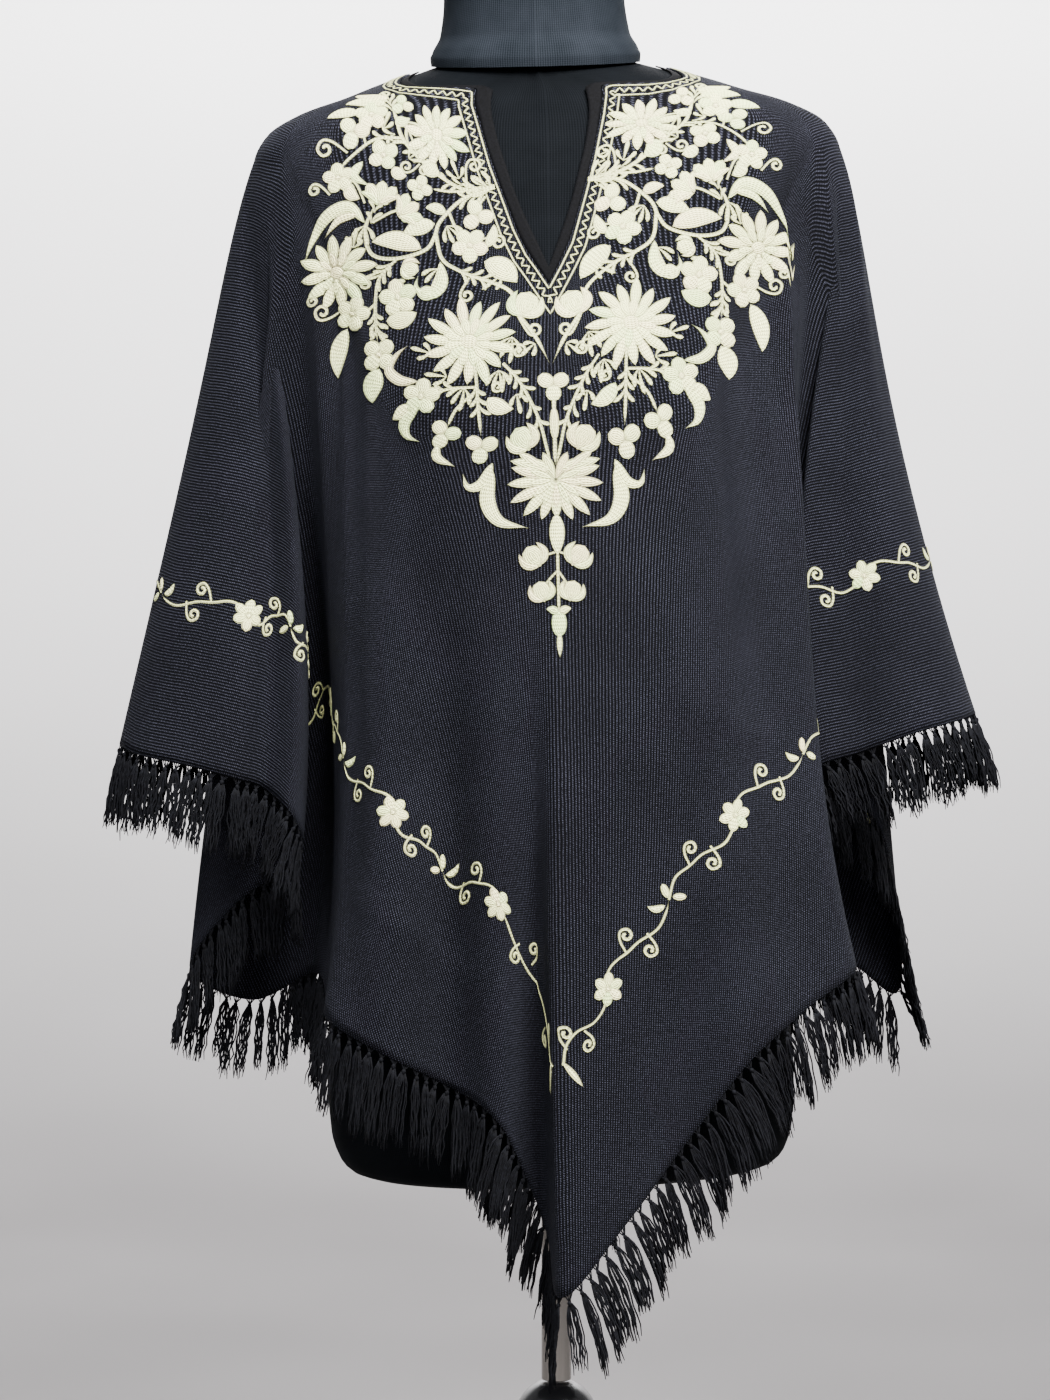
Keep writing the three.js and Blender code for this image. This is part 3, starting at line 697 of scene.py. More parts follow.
def lathe(name, profile, material, slot, node, sides=96):
    """A turned piece from (radius, height) pairs that start and end on the axis."""
    rings = profile[1:-1]
    turns = np.linspace(0, 2 * math.pi, sides, endpoint=False)
    points = [(r * math.cos(t), r * math.sin(t), z) for r, z in rings for t in turns]
    points += [(0, 0, profile[0][1]), (0, 0, profile[-1][1])]
    low, high = len(points) - 2, len(points) - 1
    faces = []
    for r in range(len(rings) - 1):
        for c in range(sides):
            d = (c + 1) % sides
            faces.append((r * sides + c, r * sides + d, (r + 1) * sides + d, (r + 1) * sides + c))
    top = (len(rings) - 1) * sides
    for c in range(sides):
        d = (c + 1) % sides
        faces += [(low, d, c), (high, top + c, top + d)]
    piece = mesh_object(name, points, faces, material)
    bevel = piece.modifiers.new("edge", "BEVEL")
    bevel.width = 0.5 * MM
    bevel.segments = 2
    bevel.limit_method = "ANGLE"
    piece.data.set_sharp_from_angle(angle=math.radians(35))
    return keep(piece, slot, node)


def arc(radius, centre_z, start, end, count):
    """Part of a round profile, from one angle above the level to another, in degrees."""
    turns = np.radians(np.linspace(start, end, count))
    return [(radius * math.cos(t), centre_z + radius * math.sin(t)) for t in turns]


def make_stand():
    low = BASE_THICK + BASE_CROWN
    shares = [k / 12 for k in range(1, 8)]
    crown = [(BASE_RADIUS * (1 - s), BASE_THICK + BASE_CROWN * math.sin(s * math.pi / 2)) for s in shares]
    wide = BASE_RADIUS
    rim = [(wide - 2, 0), (wide, 2), (wide, BASE_THICK - 2), (wide - 3, BASE_THICK)]
    lathe("base_plate", [(0, 0), *rim, *crown, (20, low), (0, low)], ENAMEL, "enamel", "stand_base", 144)
    tube = [(TUBE_RADIUS, low + TOUCH), (TUBE_RADIUS, COLLAR_BOTTOM - TOUCH)]
    lathe("lower_tube", [(0, tube[0][1]), *tube, (0, tube[1][1])], CHROME, "chrome", "stand_tube")
    waist = COLLAR_TOP - COLLAR_RADIUS
    skirt = [
        (TUBE_RADIUS + 4, COLLAR_BOTTOM),
        (TUBE_RADIUS + 6, COLLAR_BOTTOM + 3),
        (COLLAR_RADIUS, waist - 20),
    ]
    dome = arc(COLLAR_RADIUS, waist, 0, 66, 14)
    lathe("collar", [(0, COLLAR_BOTTOM), *skirt, *dome, (0, dome[-1][1])], PLASTIC, "plastic", "stand_collar")
    pole = [(POLE_RADIUS, COLLAR_TOP - 1 + TOUCH), (POLE_RADIUS, FORM_BOTTOM - 2 * TOUCH)]
    lathe("pole", [(0, pole[0][1]), *pole, (0, pole[1][1])], CHROME, "chrome", "stand_pole")


def capped(name, grid, material, slot, node, map_scale):
    """A closed piece from rows of rings, bottom first, with flat ends."""
    rows, columns = grid.shape[:2]
    points = np.concatenate([grid.reshape(-1, 3), [grid[0].mean(axis=0)], [grid[-1].mean(axis=0)]])
    faces = [tuple(reversed(f)) for f in grid_faces(rows, columns, wrap=True)]
    low, high = rows * columns, rows * columns + 1
    for c in range(columns):
        d = (c + 1) % columns
        faces += [(low, d, c), (high, (rows - 1) * columns + c, (rows - 1) * columns + d)]
    piece = mesh_object(name, points, faces, material)
    turns = np.linspace(-0.5, 0.5, columns, endpoint=False)
    flat = np.stack([np.broadcast_to(np.abs(turns) * map_scale, (rows, columns)), grid[..., 2]], axis=-1)
    ends = np.array([[0, grid[0, 0, 2]], [0, grid[-1, 0, 2]]])
    set_map(piece, "cut", np.concatenate([flat.reshape(-1, 2), ends]))
    piece.data.set_sharp_from_angle(angle=math.radians(50))
    return keep(piece, slot, node)


# The form's seams, and how far the knit's map runs round the torso and the neck.
SEAM_HALF = 1.3
SEAM_RISE = 0.9
TORSO_ROUND = 860
NECK_ROUND = 380


def make_form():
    """The torso and the neck's cover, each with its raised seam up the front and the back."""
    sides = 160
    turns = np.linspace(-180, 180, sides, endpoint=False)
    turns = turns - 4 * np.sin(np.radians(2 * turns))
    heights = np.unique(np.concatenate([FORM_SECTIONS["z"], np.linspace(712, 1450, 120)]))
    angle, z = np.meshgrid(turns, heights)
    seam = SEAM_RISE * np.exp(-((np.sin(np.radians(angle)) * 120 / SEAM_HALF / 2) ** 2))
    skin = form_point(angle, z) + form_normal(angle, z) * seam[..., None]
    capped("torso_cover", lean(skin), JERSEY, "jersey", "form_torso", TORSO_ROUND)
    rises = np.unique(np.concatenate([NECK_SECTIONS["rise"], np.linspace(0, 89, 44)]))
    angle, rise = np.meshgrid(turns, rises)
    turn = np.radians(angle)
    depth = np.where(
        np.cos(turn) > 0,
        smooth(NECK_SECTIONS, "rise", "front", rise),
        smooth(NECK_SECTIONS, "rise", "back", rise),
    )
    hem_line = -0.7 * np.exp(-(((rise - 9) / 1.2) ** 2))
    seam = SEAM_RISE * np.exp(-((np.sin(turn) * 60 / SEAM_HALF / 2) ** 2)) + hem_line
    x = (smooth(NECK_SECTIONS, "rise", "half", rise) + seam) * np.sin(turn)
    y = -(depth + seam) * np.cos(turn)
    fade = 1 - rise / (NECK_TOP - NECK_RIM)
    neck = np.stack([x, y, NECK_RIM + TOUCH + rise + NECK_SLOPE * y * fade], axis=-1)
    # The neck's cover takes the lighter copy of the knit, which is painted light.
    capped("neck_cover", lean(neck), NECK_LIT_JERSEY, "jersey", "form_neck", NECK_ROUND)


class Ground:
    """Points on the outside of the cloth and its normals there, read between rows and columns."""

    def __init__(self, points, normals):
        self.both = np.concatenate([points, normals], axis=-1)

    def read(self, row, column):
        rows, columns = self.both.shape[:2]
        row = np.clip(row, 0, rows - 1.001)
        column = np.clip(column, 0, columns - 1.001)
        r, c = row.astype(int), column.astype(int)
        a, b = (row - r)[:, None], (column - c)[:, None]
        top = mix(self.both[r, c], self.both[r, c + 1], b)
        low = mix(self.both[r + 1, c], self.both[r + 1, c + 1], b)
        found = mix(top, low, a)
        return found[:, :3], unit(found[:, 3:])


STITCH_LIFT = 0.12
STITCH_LEVEL = 0.22
STITCH_DOME = 0.75
LEAF_FULL = 1.22
FINGER_FULL = 0.78
STEM_TONE = 0.45
WIDE = np.array([-1, -0.62, 0, 0.62, 1])
NARROW = np.array([-1, 0, 1])


def curve(points, gap=2.2):
    """A smooth line through a few points, as points an even gap apart."""
    p = np.array(points, float)
    p = np.concatenate([[2 * p[0] - p[1]], p, [2 * p[-1] - p[-2]]])
    t = np.linspace(0, 1, 12, endpoint=False)[:, None]
    parts = []
    for a, b, c, d in zip(p, p[1:], p[2:], p[3:]):
        bend = (2 * a - 5 * b + 4 * c - d) * t * t + (3 * b - a - 3 * c + d) * t**3
        parts.append(0.5 * (2 * b + (c - a) * t + bend))
    return even_line(np.concatenate([*parts, [p[-2]]]), gap, 5)


def ray(angle):
    """The way that an angle in degrees points."""
    turn = math.radians(angle)
    return np.array([math.cos(turn), math.sin(turn)])


def rays(turn):
    """The ways that many angles in radians point."""
    return np.stack([np.cos(turn), np.sin(turn)], axis=-1)


def bowed(start, end, t, bow):
    """The line from one point to another that bows to its left by a share of its length."""
    a, b = np.array(start, float), np.array(end, float)
    aside = np.array([a[1] - b[1], b[0] - a[0]])
    return mix(a, b, t[:, None]) + np.outer(np.sin(np.pi * t) * bow, aside)


class Stitches:
    """Raised chain stitch gathered into one mesh. place turns flat points into points on the cloth."""

    def __init__(self, name, place):
        self.name = name
        self.place = place
        self.side = 1
        self.points, self.faces, self.map, self.tones = [], [], [], []
        self.random = random.Random(7)

    def stroke(self, line, half, level=0.0, tone=None, dome=STITCH_DOME):
        """A raised band along a line, as wide at each point as half says."""
        line = np.array(line, float) * [self.side, 1]
        half = np.broadcast_to(np.asarray(half, float), len(line))
        across = NARROW if half.max() < 1.7 else WIDE
        run = np.gradient(line, axis=0)
        run /= np.maximum(np.linalg.norm(run, axis=1, keepdims=True), 1e-6)
        beside = np.stack([-run[:, 1], run[:, 0]], axis=-1)
        spots = line[:, None] + beside[:, None] * (half[:, None] * across)[..., None]
        where, normal = self.place(spots.reshape(-1, 2))
        bulge = np.sqrt(np.maximum(0, 1 - across**2)) * np.minimum(1, half[:, None] / 1.3) * dome
        rise = (THICK / 2 + STITCH_LIFT + level * STITCH_LEVEL + bulge).reshape(-1, 1)
        first = len(self.points)
        self.points.extend((where + normal * rise).tolist())
        rim = half[:, None] * (1 - np.abs(across))
        self.map.extend(zip(rim.ravel(), np.repeat(walked(line), len(across))))
        shade = self.random.random() if tone is None else tone
        self.tones.extend([shade] * rim.size)
        width = len(across)
        for r in range(len(line) - 1):
            for c in range(width - 1):
                a = first + r * width + c
                self.faces.append((a, a + width, a + width + 1, a + 1))

    def stroke_at(self, turn, away, half):
        """A thin line given by angles and distances, whose width lies across the distance."""
        first = len(self.points)
        for offset in NARROW:
            where, normal = self.place(np.stack([turn, away + offset * half], axis=-1))
            rise = THICK / 2 + STITCH_LIFT + (STITCH_DOME * 0.6 if offset == 0 else 0)
            self.points.extend((where + normal * rise).tolist())
            self.map.extend((half * (1 - abs(offset)), 1.4 * a) for a in turn)
            self.tones.extend([0.5] * len(turn))
        count = len(turn)
        for r in range(len(NARROW) - 1):
            for c in range(count - 1):
                a = first + r * count + c
                self.faces.append((a, a + count, a + count + 1, a + 1))

    def petal(self, centre, angle, start, end, half, bend=0.0, level=0.0, tone=None, sharp=True):
        """A petal that points away from its flower's centre, from start to end."""
        t = np.linspace(0, 1, 9)
        turn = np.radians(angle + bend * t * t)
        reach = mix(start, end, t)
        line = np.array(centre) + reach[:, None] * rays(turn)
        if sharp:
            width = np.sin(np.pi * t**1.12) ** 0.7
        else:
            width = np.sqrt(np.maximum(0, 1 - (2 * t - 1) ** 2))
        self.stroke(line, half * np.maximum(width, 0.02), level, tone)

    def seed(self, centre, angle, start, end, half, level, tone=None):
        """A straight petal with round ends."""
        self.petal(centre, angle, start, end, half, 0, level, tone, sharp=False)

    def leaf(self, start, end, half, bow=0.0, level=0.0):
        """A pointed leaf from its stem to its tip, bowed to one side."""
        t = np.linspace(0, 1, 11)
        width = LEAF_FULL * half * np.maximum(np.sin(np.pi * t**0.85) ** 0.75, 0.02)
        self.stroke(bowed(start, end, t, bow), width, level)

    def crescent(self, points, half, level=0.0):
        """A thick curved leaf along a line, fullest a third of the way along."""
        line = curve(points, 2.0)
        t = np.linspace(0, 1, len(line))
        self.stroke(line, half * np.maximum(np.sin(np.pi * t**0.7), 0.06), level)

    def stem(self, points, half=1.25):
        line = curve(points)
        t = np.linspace(0, 1, len(line))
        self.stroke(line, half * np.clip(8 * (1 - t), 0.1, 1), 0, STEM_TONE)

    def curl(self, root, centre, radius, hand=1, turns=1.35, half=1.15):
        """A stem from its root that winds into a spiral."""
        centre = np.array(centre, float)
        away = np.array(root, float) - centre
        first = math.atan2(away[1], away[0]) + hand * 0.9
        t = np.linspace(0, 1, 22)
        turn = first + hand * 2 * math.pi * turns * t
        reach = radius * (1 - 0.78 * t)
        spiral = centre + reach[:, None] * rays(turn)
        line = curve([root, *spiral[::3], spiral[-1]], 1.5)
        grow = np.linspace(0.85, 1.25, len(line))
        grow[-1] = 0.7
        self.stroke(line, half * grow, 0.2, 0.4)

    def finger(self, start, end, half, bow=0.0):
        """A slim leaf that widens to a round tip."""
        t = np.linspace(0, 1, 10)
        tip = np.sqrt(np.clip(1 - ((t - FINGER_FULL) / (1.01 - FINGER_FULL)) ** 2 * (t > FINGER_FULL), 0, 1))
        width = half * mix(0.4, 1, step(0, FINGER_FULL, t)) * tip
        self.stroke(bowed(start, end, t, bow), width, 0.1, STEM_TONE)

    def sprigs(self, start, end, count, length, lean=36, half=1.6):
        """Fingers in a row on either side of a stem."""
        a, b = np.array(start, float), np.array(end, float)
        heading = math.degrees(math.atan2(b[1] - a[1], b[0] - a[0]))
        for i in range(count):
            root = mix(a, b, (i + 0.5) / count)
            for side in (1, -1):
                reach = length * (1.05 + 0.35 * ((i * 7 + (side > 0) * 3) % 5) / 5)
                tip = root + reach * ray(heading + side * lean)
                self.finger(root, tip, half, -0.12 * side)

    def spray(self, root, heading, count, length, spread=78, half=1.75):
        """Fingers that fan out from one place."""
        root = np.array(root, float)
        for k in range(count):
            share = k / (count - 1) - 0.5
            reach = length * (1 - 0.5 * abs(share) + 0.1 * math.sin(2.1 * k))
            self.finger(root, root + reach * ray(heading + spread * share), half, 0.24 * share)

    def bloom(self, centre, radius, count=13, turn=0.0, squash=1.0):
        """A flower of many pointed petals in two rings."""
        wobble = [1 + 0.07 * math.sin(2.7 * k + turn) for k in range(count)]
        for k in range(count):
            angle = turn + 360 * k / count
            reach = radius * wobble[k] * mix(1, squash, abs(math.sin(math.radians(angle))))
            level = 0.5 + 0.08 * (k % 2)
            self.petal(centre, angle, 0.24 * radius, 1.04 * reach, 1.95 * radius / count, 4, level)
        for k in range(count - 3):
            angle = turn + 14 + 360 * k / (count - 3)
            self.petal(centre, angle, 0.1 * radius, 0.6 * radius, 0.13 * radius, 0, 1.3 + 0.1 * (k % 2))
        self.seed(centre, turn, -0.2 * radius, 0.2 * radius, 0.2 * radius, 2.2, 0.15)

    def rosette(self, centre, radius, count=5, turn=90.0):
        """A flower of a few round petals about a small eye."""
        for k in range(count):
            angle = turn + 360 * k / count
            half = min(0.46, 2.1 / count) * radius
            self.seed(centre, angle, 0.06 * radius, radius, half, 0.5 + 0.12 * (k % 2))
        self.seed(centre, turn, -0.2 * radius, 0.2 * radius, 0.2 * radius, 1.7, 0.1)

    def trefoil(self, centre, radius, turn=-90.0):
        """Three round petals."""
        for k in (-1, 1, 0):
            self.seed(centre, turn + 120 * k, 0.02, radius, 0.46 * radius, 0.5 + 0.1 * k)

    def rosebud(self, centre, radius, turn=90.0):
        """A round bud wound from the middle, held by two sepals."""
        centre = np.array(centre, float)
        self.seed(centre, turn, -radius, radius, 0.94 * radius, 0.5)
        for side in (1, -1):
            start = centre - 0.9 * radius * ray(turn)
            tip = centre + 1.25 * radius * ray(turn + 42 * side)
            self.leaf(start, tip, 0.32 * radius, 0.28 * side, 1.1)
        t = np.linspace(0, 1, 16)
        angle = np.radians(turn + 560 * t)
        wind = centre + (0.12 + 0.5 * t[:, None]) * radius * rays(angle)
        self.stroke(wind, 0.09 * radius, 1.9, 0.75)

    def cup(self, centre, radius, turn=90.0):
        """A half-open flower: a broad shell between two leaves."""
        centre = np.array(centre, float)
        foot = centre - radius * ray(turn)
        for lean in (-34, 34, 0):
            level = 0.5 + 0.006 * (34 - abs(lean))
            self.seed(foot, turn + lean, 0.1 * radius, 1.85 * radius, 0.5 * radius, level)
        for side in (1, -1):
            self.leaf(foot, foot + 1.7 * radius * ray(turn + 62 * side), 0.26 * radius, -0.15 * side, 1.2)

    def fan(self, centre, radius):
        """The lotus below the slit, spread downwards and to both sides."""
        for k in range(13):
            angle = 38 - k * (256 / 12)
            reach = radius * (0.84 + 0.16 * abs(math.cos(math.radians(angle))) + 0.06 * math.sin(5 * k))
            self.petal(centre, angle, 0.15 * radius, reach, 0.115 * radius, 0, 0.5 + 0.1 * (k % 2))
        for angle in (66, 114):
            self.petal(centre, angle, 0, 0.62 * radius, 0.11 * radius, 0, 0.7)
        for k in range(9):
            angle = 20 - k * 27.5
            self.petal(centre, angle, 0.0, 0.6 * radius, 0.1 * radius, 0, 1.5 + 0.1 * (k % 2))
        for side in (1, -1):
            tip = centre + radius * ray(90 - 66 * side)
            self.leaf(centre + np.array([0, 0.2 * radius]), tip, 0.12 * radius, 0, 0.4)

    def build(self, material):
        piece = mesh_object(self.name, self.points, self.faces, material)
        set_map(piece, "stitch", self.map)
        tone = piece.data.attributes.new("tone", "FLOAT", "POINT")
        tone.data.foreach_set("value", np.array(self.tones, np.float32))
        return keep(piece, "embroidery")


CREAM = (0.94, 0.96, 0.43)
PALE_GREEN = (0.68, 0.88, 0.33)
BLUSH = (0.98, 0.88, 0.45)
ROW_PITCH = 0.0013
LINK_PITCH = 0.0023
# How wide the painted shade is at the edge of each stroke, where petals meet, and how dark it gets there.
RIM_WIDTH = 0.0014
RIM_SHADE = 0.03


def thread_material():
    """Rows of chain stitch side by side, in cream thread that shades to pale green."""
    m = Nodes("embroidery_thread", CREAM, 0.55, Sheen_Weight=0.1, Specular_IOR_Level=0.35)
    parts = m.add("SeparateXYZ", Vector=m.add("UVMap", uv_map="stitch"))
    row = parts[0].wave(ROW_PITCH, "COSINE")
    link = (parts[1] + row * (LINK_PITCH / 5)).wave(LINK_PITCH)
    relief = (row * -0.65 + link * 0.35) * 0.5 + 0.5
    place = m.add("TexCoord")["Object"]
    blend = m.add("Attribute", attribute_name="tone")["Fac"] * 0.5 + m.noise(place, 28, 2) * 0.5
    base = m.ramp(blend, [(0.22, BLUSH), (0.42, CREAM), (0.6, CREAM), (0.85, PALE_GREEN)])
    # Painted light and shade: the colour is lightened on the rows and links of chain stitch, darkened in the
    # grooves between them, and darkened much further near each stroke's edge where petals meet. The fine
    # noise is the thread's own uneven tone.
    shade = (relief * 0.62 + 0.55) * (m.noise(place, 420, 2) * 0.3 + 0.85)
    rim = m.add(
        "MapRange",
        Value=parts[0],
        interpolation_type="SMOOTHSTEP",
        From_Max=RIM_WIDTH,
        To_Min=RIM_SHADE,
        To_Max=1,
    )
    colour = m.add("VectorMath", operation="SCALE", Vector=base, Scale=shade * rim)
    return m.finish(colour, Normal=m.bump(relief, 1.0, 0.0007))


THREAD = thread_material()

# The yoke is drawn flat: across from the slit, and up the cloth from the level of the bust.
YOKE_MIDDLE = 4
YOKE_REF = 1190
YOKE_GAP = 2.5
YOKE_ACROSS = np.arange(-190, 190.1, YOKE_GAP)
YOKE_UP = np.arange(-190, 330.1, YOKE_GAP)
INNER_HEIGHT = 1300
UNEVEN = 5
SLIT_EXTRA = 14


def yoke_ground():
    """The cloth without its slit, read along upright slices from the front over the shoulders."""
    at = np.arange(0, FOLD_COUNT + 0.01, 0.1)
    upright = cloth(at, 90, 90, top=1449)
    normals = grid_normals(upright, closed=True)
    upright = crease(upright, normals)
    rows, columns = upright.shape[:2]
    tree = BVHTree.FromPolygons(upright.reshape(-1, 3).tolist(), grid_faces(rows, columns))
    c, s = math.cos(LEAN), math.sin(LEAN)
    side = Vector((c, 0, s))
    up = Vector((-s, 0, c))
    points = np.zeros((len(YOKE_UP), len(YOKE_ACROSS), 3))
    for k, u in enumerate(YOKE_ACROSS):
        foot = Vector((SHIFT, 0, FORM_BOTTOM)) + side * float(u)
        hits = []
        for height in range(980, INNER_HEIGHT, 6):
            hits.append(tree.ray_cast(foot + up * (height - FORM_BOTTOM), Vector((0, -1, 0)))[0])
        inner = foot + up * (INNER_HEIGHT - FORM_BOTTOM)
        for turn in range(0, 150, 2):
            a = math.radians(turn)
            hits.append(tree.ray_cast(inner, up * math.sin(a) - Vector((0, math.cos(a), 0)))[0])
        stop = hits.index(None) if None in hits else len(hits)
        line = np.array([tuple(h) for h in hits[:stop]])
        lengths = walked(line)
        local_up = line @ np.array(up) - FORM_BOTTOM * c - SHIFT * up[0]
        zero = np.interp(YOKE_REF - FORM_BOTTOM, local_up[:50], lengths[:50])
        for axis in range(3):
            points[:, k, axis] = np.interp(YOKE_UP + zero, lengths, line[:, axis])
    return points, -grid_normals(points)


YOKE_POINTS, YOKE_NORMALS = yoke_ground()
YOKE = Ground(YOKE_POINTS, YOKE_NORMALS)


def yoke_read(across, up):
    return YOKE.read((up - YOKE_UP[0]) / YOKE_GAP, (across - YOKE_ACROSS[0]) / YOKE_GAP)


def place_yoke(spots):
    """The left is worked a little lower than the right, as by hand, and makes room for the wider slit."""
    aside = SLIT_EXTRA * step(101, 258, spots[:, 1]) * step(110, 25, -spots[:, 0]) * (spots[:, 0] < 0)
    across = spots[:, 0] - aside + YOKE_MIDDLE
    wide = step(12, 50, np.abs(spots[:, 0])) * step(225, 195, spots[:, 1]) * step(-30, 40, spots[:, 1])
    up = spots[:, 1] + UNEVEN * np.sign(spots[:, 0]) * wide
    return yoke_read(across, up)


def half_yoke(st):
    """One half of the yoke's flowers, in millimetres from the middle line and the bust's level."""
    st.stem([(27, 172), (47, 173), (66, 185), (80, 198), (91, 210), (95, 222), (99, 236)], 1.6)
    st.stem([(91, 209), (110, 208), (126, 197), (134, 188)])
    inner = [(27, 171), (48, 167), (66, 152), (71, 141), (78, 132), (97, 127)]
    st.stem([*inner, (113, 131), (117, 147), (112, 160), (108, 168)], 1.5)
    st.stem([(70, 143), (67, 126), (56, 117), (38, 108), (24, 97), (20, 82), (9, 64), (1, 47)], 1.5)
    st.stem([(96, 127), (108, 115), (111, 100), (111, 86), (110, 72)])
    st.stem([(111, 98), (119, 92), (126, 92)])
    st.stem([(48, 60), (47, 40), (46, 20), (45, 4)])
    st.stem([(47, 38), (62, 38), (74, 36)])
    st.stem([(49, 34), (60, 24), (66, 12)])
    st.stem([(30, 50), (20, 36), (9, 12), (4, -8), (1, -20)])
    st.stem([(112, 152), (100, 158), (92, 160)])
    st.stem([(47, 172), (58, 172), (70, 174)])
    st.stem([(34, 166), (42, 158)])
    st.stem([(60, 158), (56, 146), (50, 138)])
    st.bloom((63, 211), 25, 13, 8, 0.86)
    st.bloom((136, 121), 25, 12, 20, 0.95)
    st.bloom((51, 68), 29, 15, 6)
    st.rosette((48, 134), 12.5, 5, 60)
    st.rosette((96, 101), 13, 5, 80)
    st.rosette((126, 93), 12, 5, 40)
    st.rosette((134, 183), 11, 5, 10)
    st.rosette((82, 34), 12.5, 5, 100)
    st.rosette((109, 64), 12, 4, 45)
    st.rosette((79, 175), 9.5, 4, 20)
    st.rosette((104, 198), 11, 4, 60)
    st.rosette((112, 225), 12, 5, 15)
    st.trefoil((41, 154), 11.5, 200)
    st.trefoil((124, 213), 11.5, -70)
    st.trefoil((68, 7), 11, -60)
    st.trefoil((45, -4), 11.5, -80)
    st.trefoil((90, 233), 9.5, 80)
    st.rosebud((15, 87), 9.5, 110)
    st.rosebud((19, -1), 8.5, 60)
    st.rosebud((14, -75), 7.5, 55)
    st.rosebud((9.5, -97), 6.8, 75)
    st.rosebud((88, 120), 6.0, 200)
    st.cup((106, 172), 9.5, 100)
    st.cup((87, 160), 9.5, 150)
    st.leaf((72, 196), (63, 184), 5.2, 0.2, 0.4)
    st.leaf((40, 122), (20, 103), 6.2, -0.08, 0.6)
    st.leaf((80, 133), (113, 139), 5.6, 0.1, 0.4)
    st.leaf((70, 150), (92, 143), 4.8, 0.06, 0.4)
    st.leaf((62, 156), (76, 161), 3.4, 0.15, 0.4)
    st.leaf((84, 103), (70, 106), 4.4, 0.1, 0.3)
    st.leaf((104, 86), (84, 90), 5.4, 0.1, 0.3)
    st.leaf((40, 30), (24, 19), 4.6, 0.15, 0.3)
    st.leaf((109, 55), (114, 33), 5.6, 0.1, 0.3)
    st.leaf((90, 30), (101, 20), 4.0, -0.05, 0.3)
    st.leaf((130, 84), (137, 52), 5.0, 0.1, 0.3)
    st.leaf((97, 190), (88, 183), 4.0, 0.2, 0.3)
    st.leaf((128, 178), (120, 168), 3.8, 0.2, 0.3)
    st.leaf((38, 131), (31, 146), 3.2, 0.1, 0.3)
    st.leaf((102, 233), (130, 236), 5.0, 0.12, 0.5)
    st.leaf((100, 239), (124, 250), 4.6, -0.1, 0.5)
    st.leaf((96, 222), (84, 222), 3.4, 0.2, 0.3)
    st.leaf((120, 226), (142, 224), 4.0, 0.12, 0.6)
    st.crescent([(117, 152), (128, 163), (142, 158), (152, 144), (158, 130)], 4.6, 0.4)
    st.crescent([(120, 158), (134, 155), (144, 144)], 3.0, 0.9)
    st.crescent([(68, 124), (68, 109), (75, 102), (84, 106), (83, 115)], 4.4, 0.4)
    st.crescent([(84, 44), (96, 46), (103, 54), (97, 63), (90, 68)], 3.8, 0.3)
    st.crescent([(84, 28), (93, 18), (92, 8), (84, 3)], 4.2, 0.3)
    st.crescent([(72, 0), (73, -9), (62, -16)], 3.3, 0.2)
    st.crescent([(38, -15), (45, -28), (54, -30), (57, -21)], 3.8, 0.2)
    st.crescent([(38, -20), (42, -38), (35, -52), (17, -57)], 5.2, 0.3)
    st.crescent([(118, 194), (124, 184), (113, 176)], 3.4, 0.3)
    for root, centre, radius, hand in (
        ((128, 200), (143, 203), 6.5, -1),
        ((78, 192), (88, 190), 5.0, 1),
        ((70, 186), (75, 187), 4.0, -1),
        ((45, 178), (38, 189), 6.0, 1),
        ((42, 137), (30, 133), 5.0, 1),
        ((117, 165), (127, 176), 5.5, -1),
        ((140, 172), (150, 176), 4.6, -1),
        ((132, 97), (147, 96), 6.0, 1),
        ((50, 112), (52, 100), 4.8, -1),
        ((100, 121), (117, 112), 4.4, -1),
        ((22, 84), (10, 70), 5.2, -1),
        ((28, 62), (20, 56), 4.6, 1),
        ((30, 44), (34, 36), 4.2, 1),
        ((94, 220), (80, 214), 4.6, 1),
        ((98, 232), (103, 245), 4.4, 1),
        ((82, 206), (92, 219), 4.2, -1),
        ((146, 108), (153, 104), 4.0, -1),
        ((116, 205), (116, 221), 4.2, 1),
    ):
        st.curl(root, centre, radius, hand)
    for across, up, heading, count, length in SPRAYS:
        st.spray((across, up), heading, count, length)
    for start, end, count, length in (
        ((30, 173), (58, 178), 4, 9),
        ((30, 169), (46, 167), 3, 9),
        ((70, 189), (88, 207), 3, 10),
        ((92, 212), (108, 209), 2, 8),
        ((60, 119), (42, 110), 3, 9),
        ((98, 126), (108, 116), 3, 9),
        ((112, 96), (110, 80), 3, 8),
        ((48, 42), (46, 24), 3, 9),
        ((28, 48), (18, 32), 3, 8),
        ((16, 26), (8, 8), 2, 8),
        ((56, 38), (70, 37), 2, 8),
        ((114, 148), (110, 162), 2, 8),
        ((97, 225), (100, 236), 2, 9),
    ):
        st.sprigs(start, end, count, length)


SPRAYS = [
    (30, 170, 35, 4, 20),
    (50, 181, 75, 3, 14),
    (96, 206, -20, 3, 14),
    (86, 196, 150, 3, 12),
    (62, 148, -120, 4, 15),
    (70, 119, -60, 4, 15),
    (24, 66, -70, 4, 17),
    (33, 46, -85, 4, 15),
    (55, 38, -65, 4, 16),
    (66, 46, 10, 3, 13),
    (100, 110, -150, 3, 12),
    (117, 150, -80, 4, 15),
    (112, 84, -120, 3, 13),
    (22, 28, -100, 3, 12),
    (125, 136, 100, 3, 12),
    (99, 236, 60, 3, 13),
    (76, 62, 20, 3, 12),
    (30, 110, -30, 3, 13),
    (10, 60, -40, 3, 11),
    (104, 215, 110, 3, 12),
]


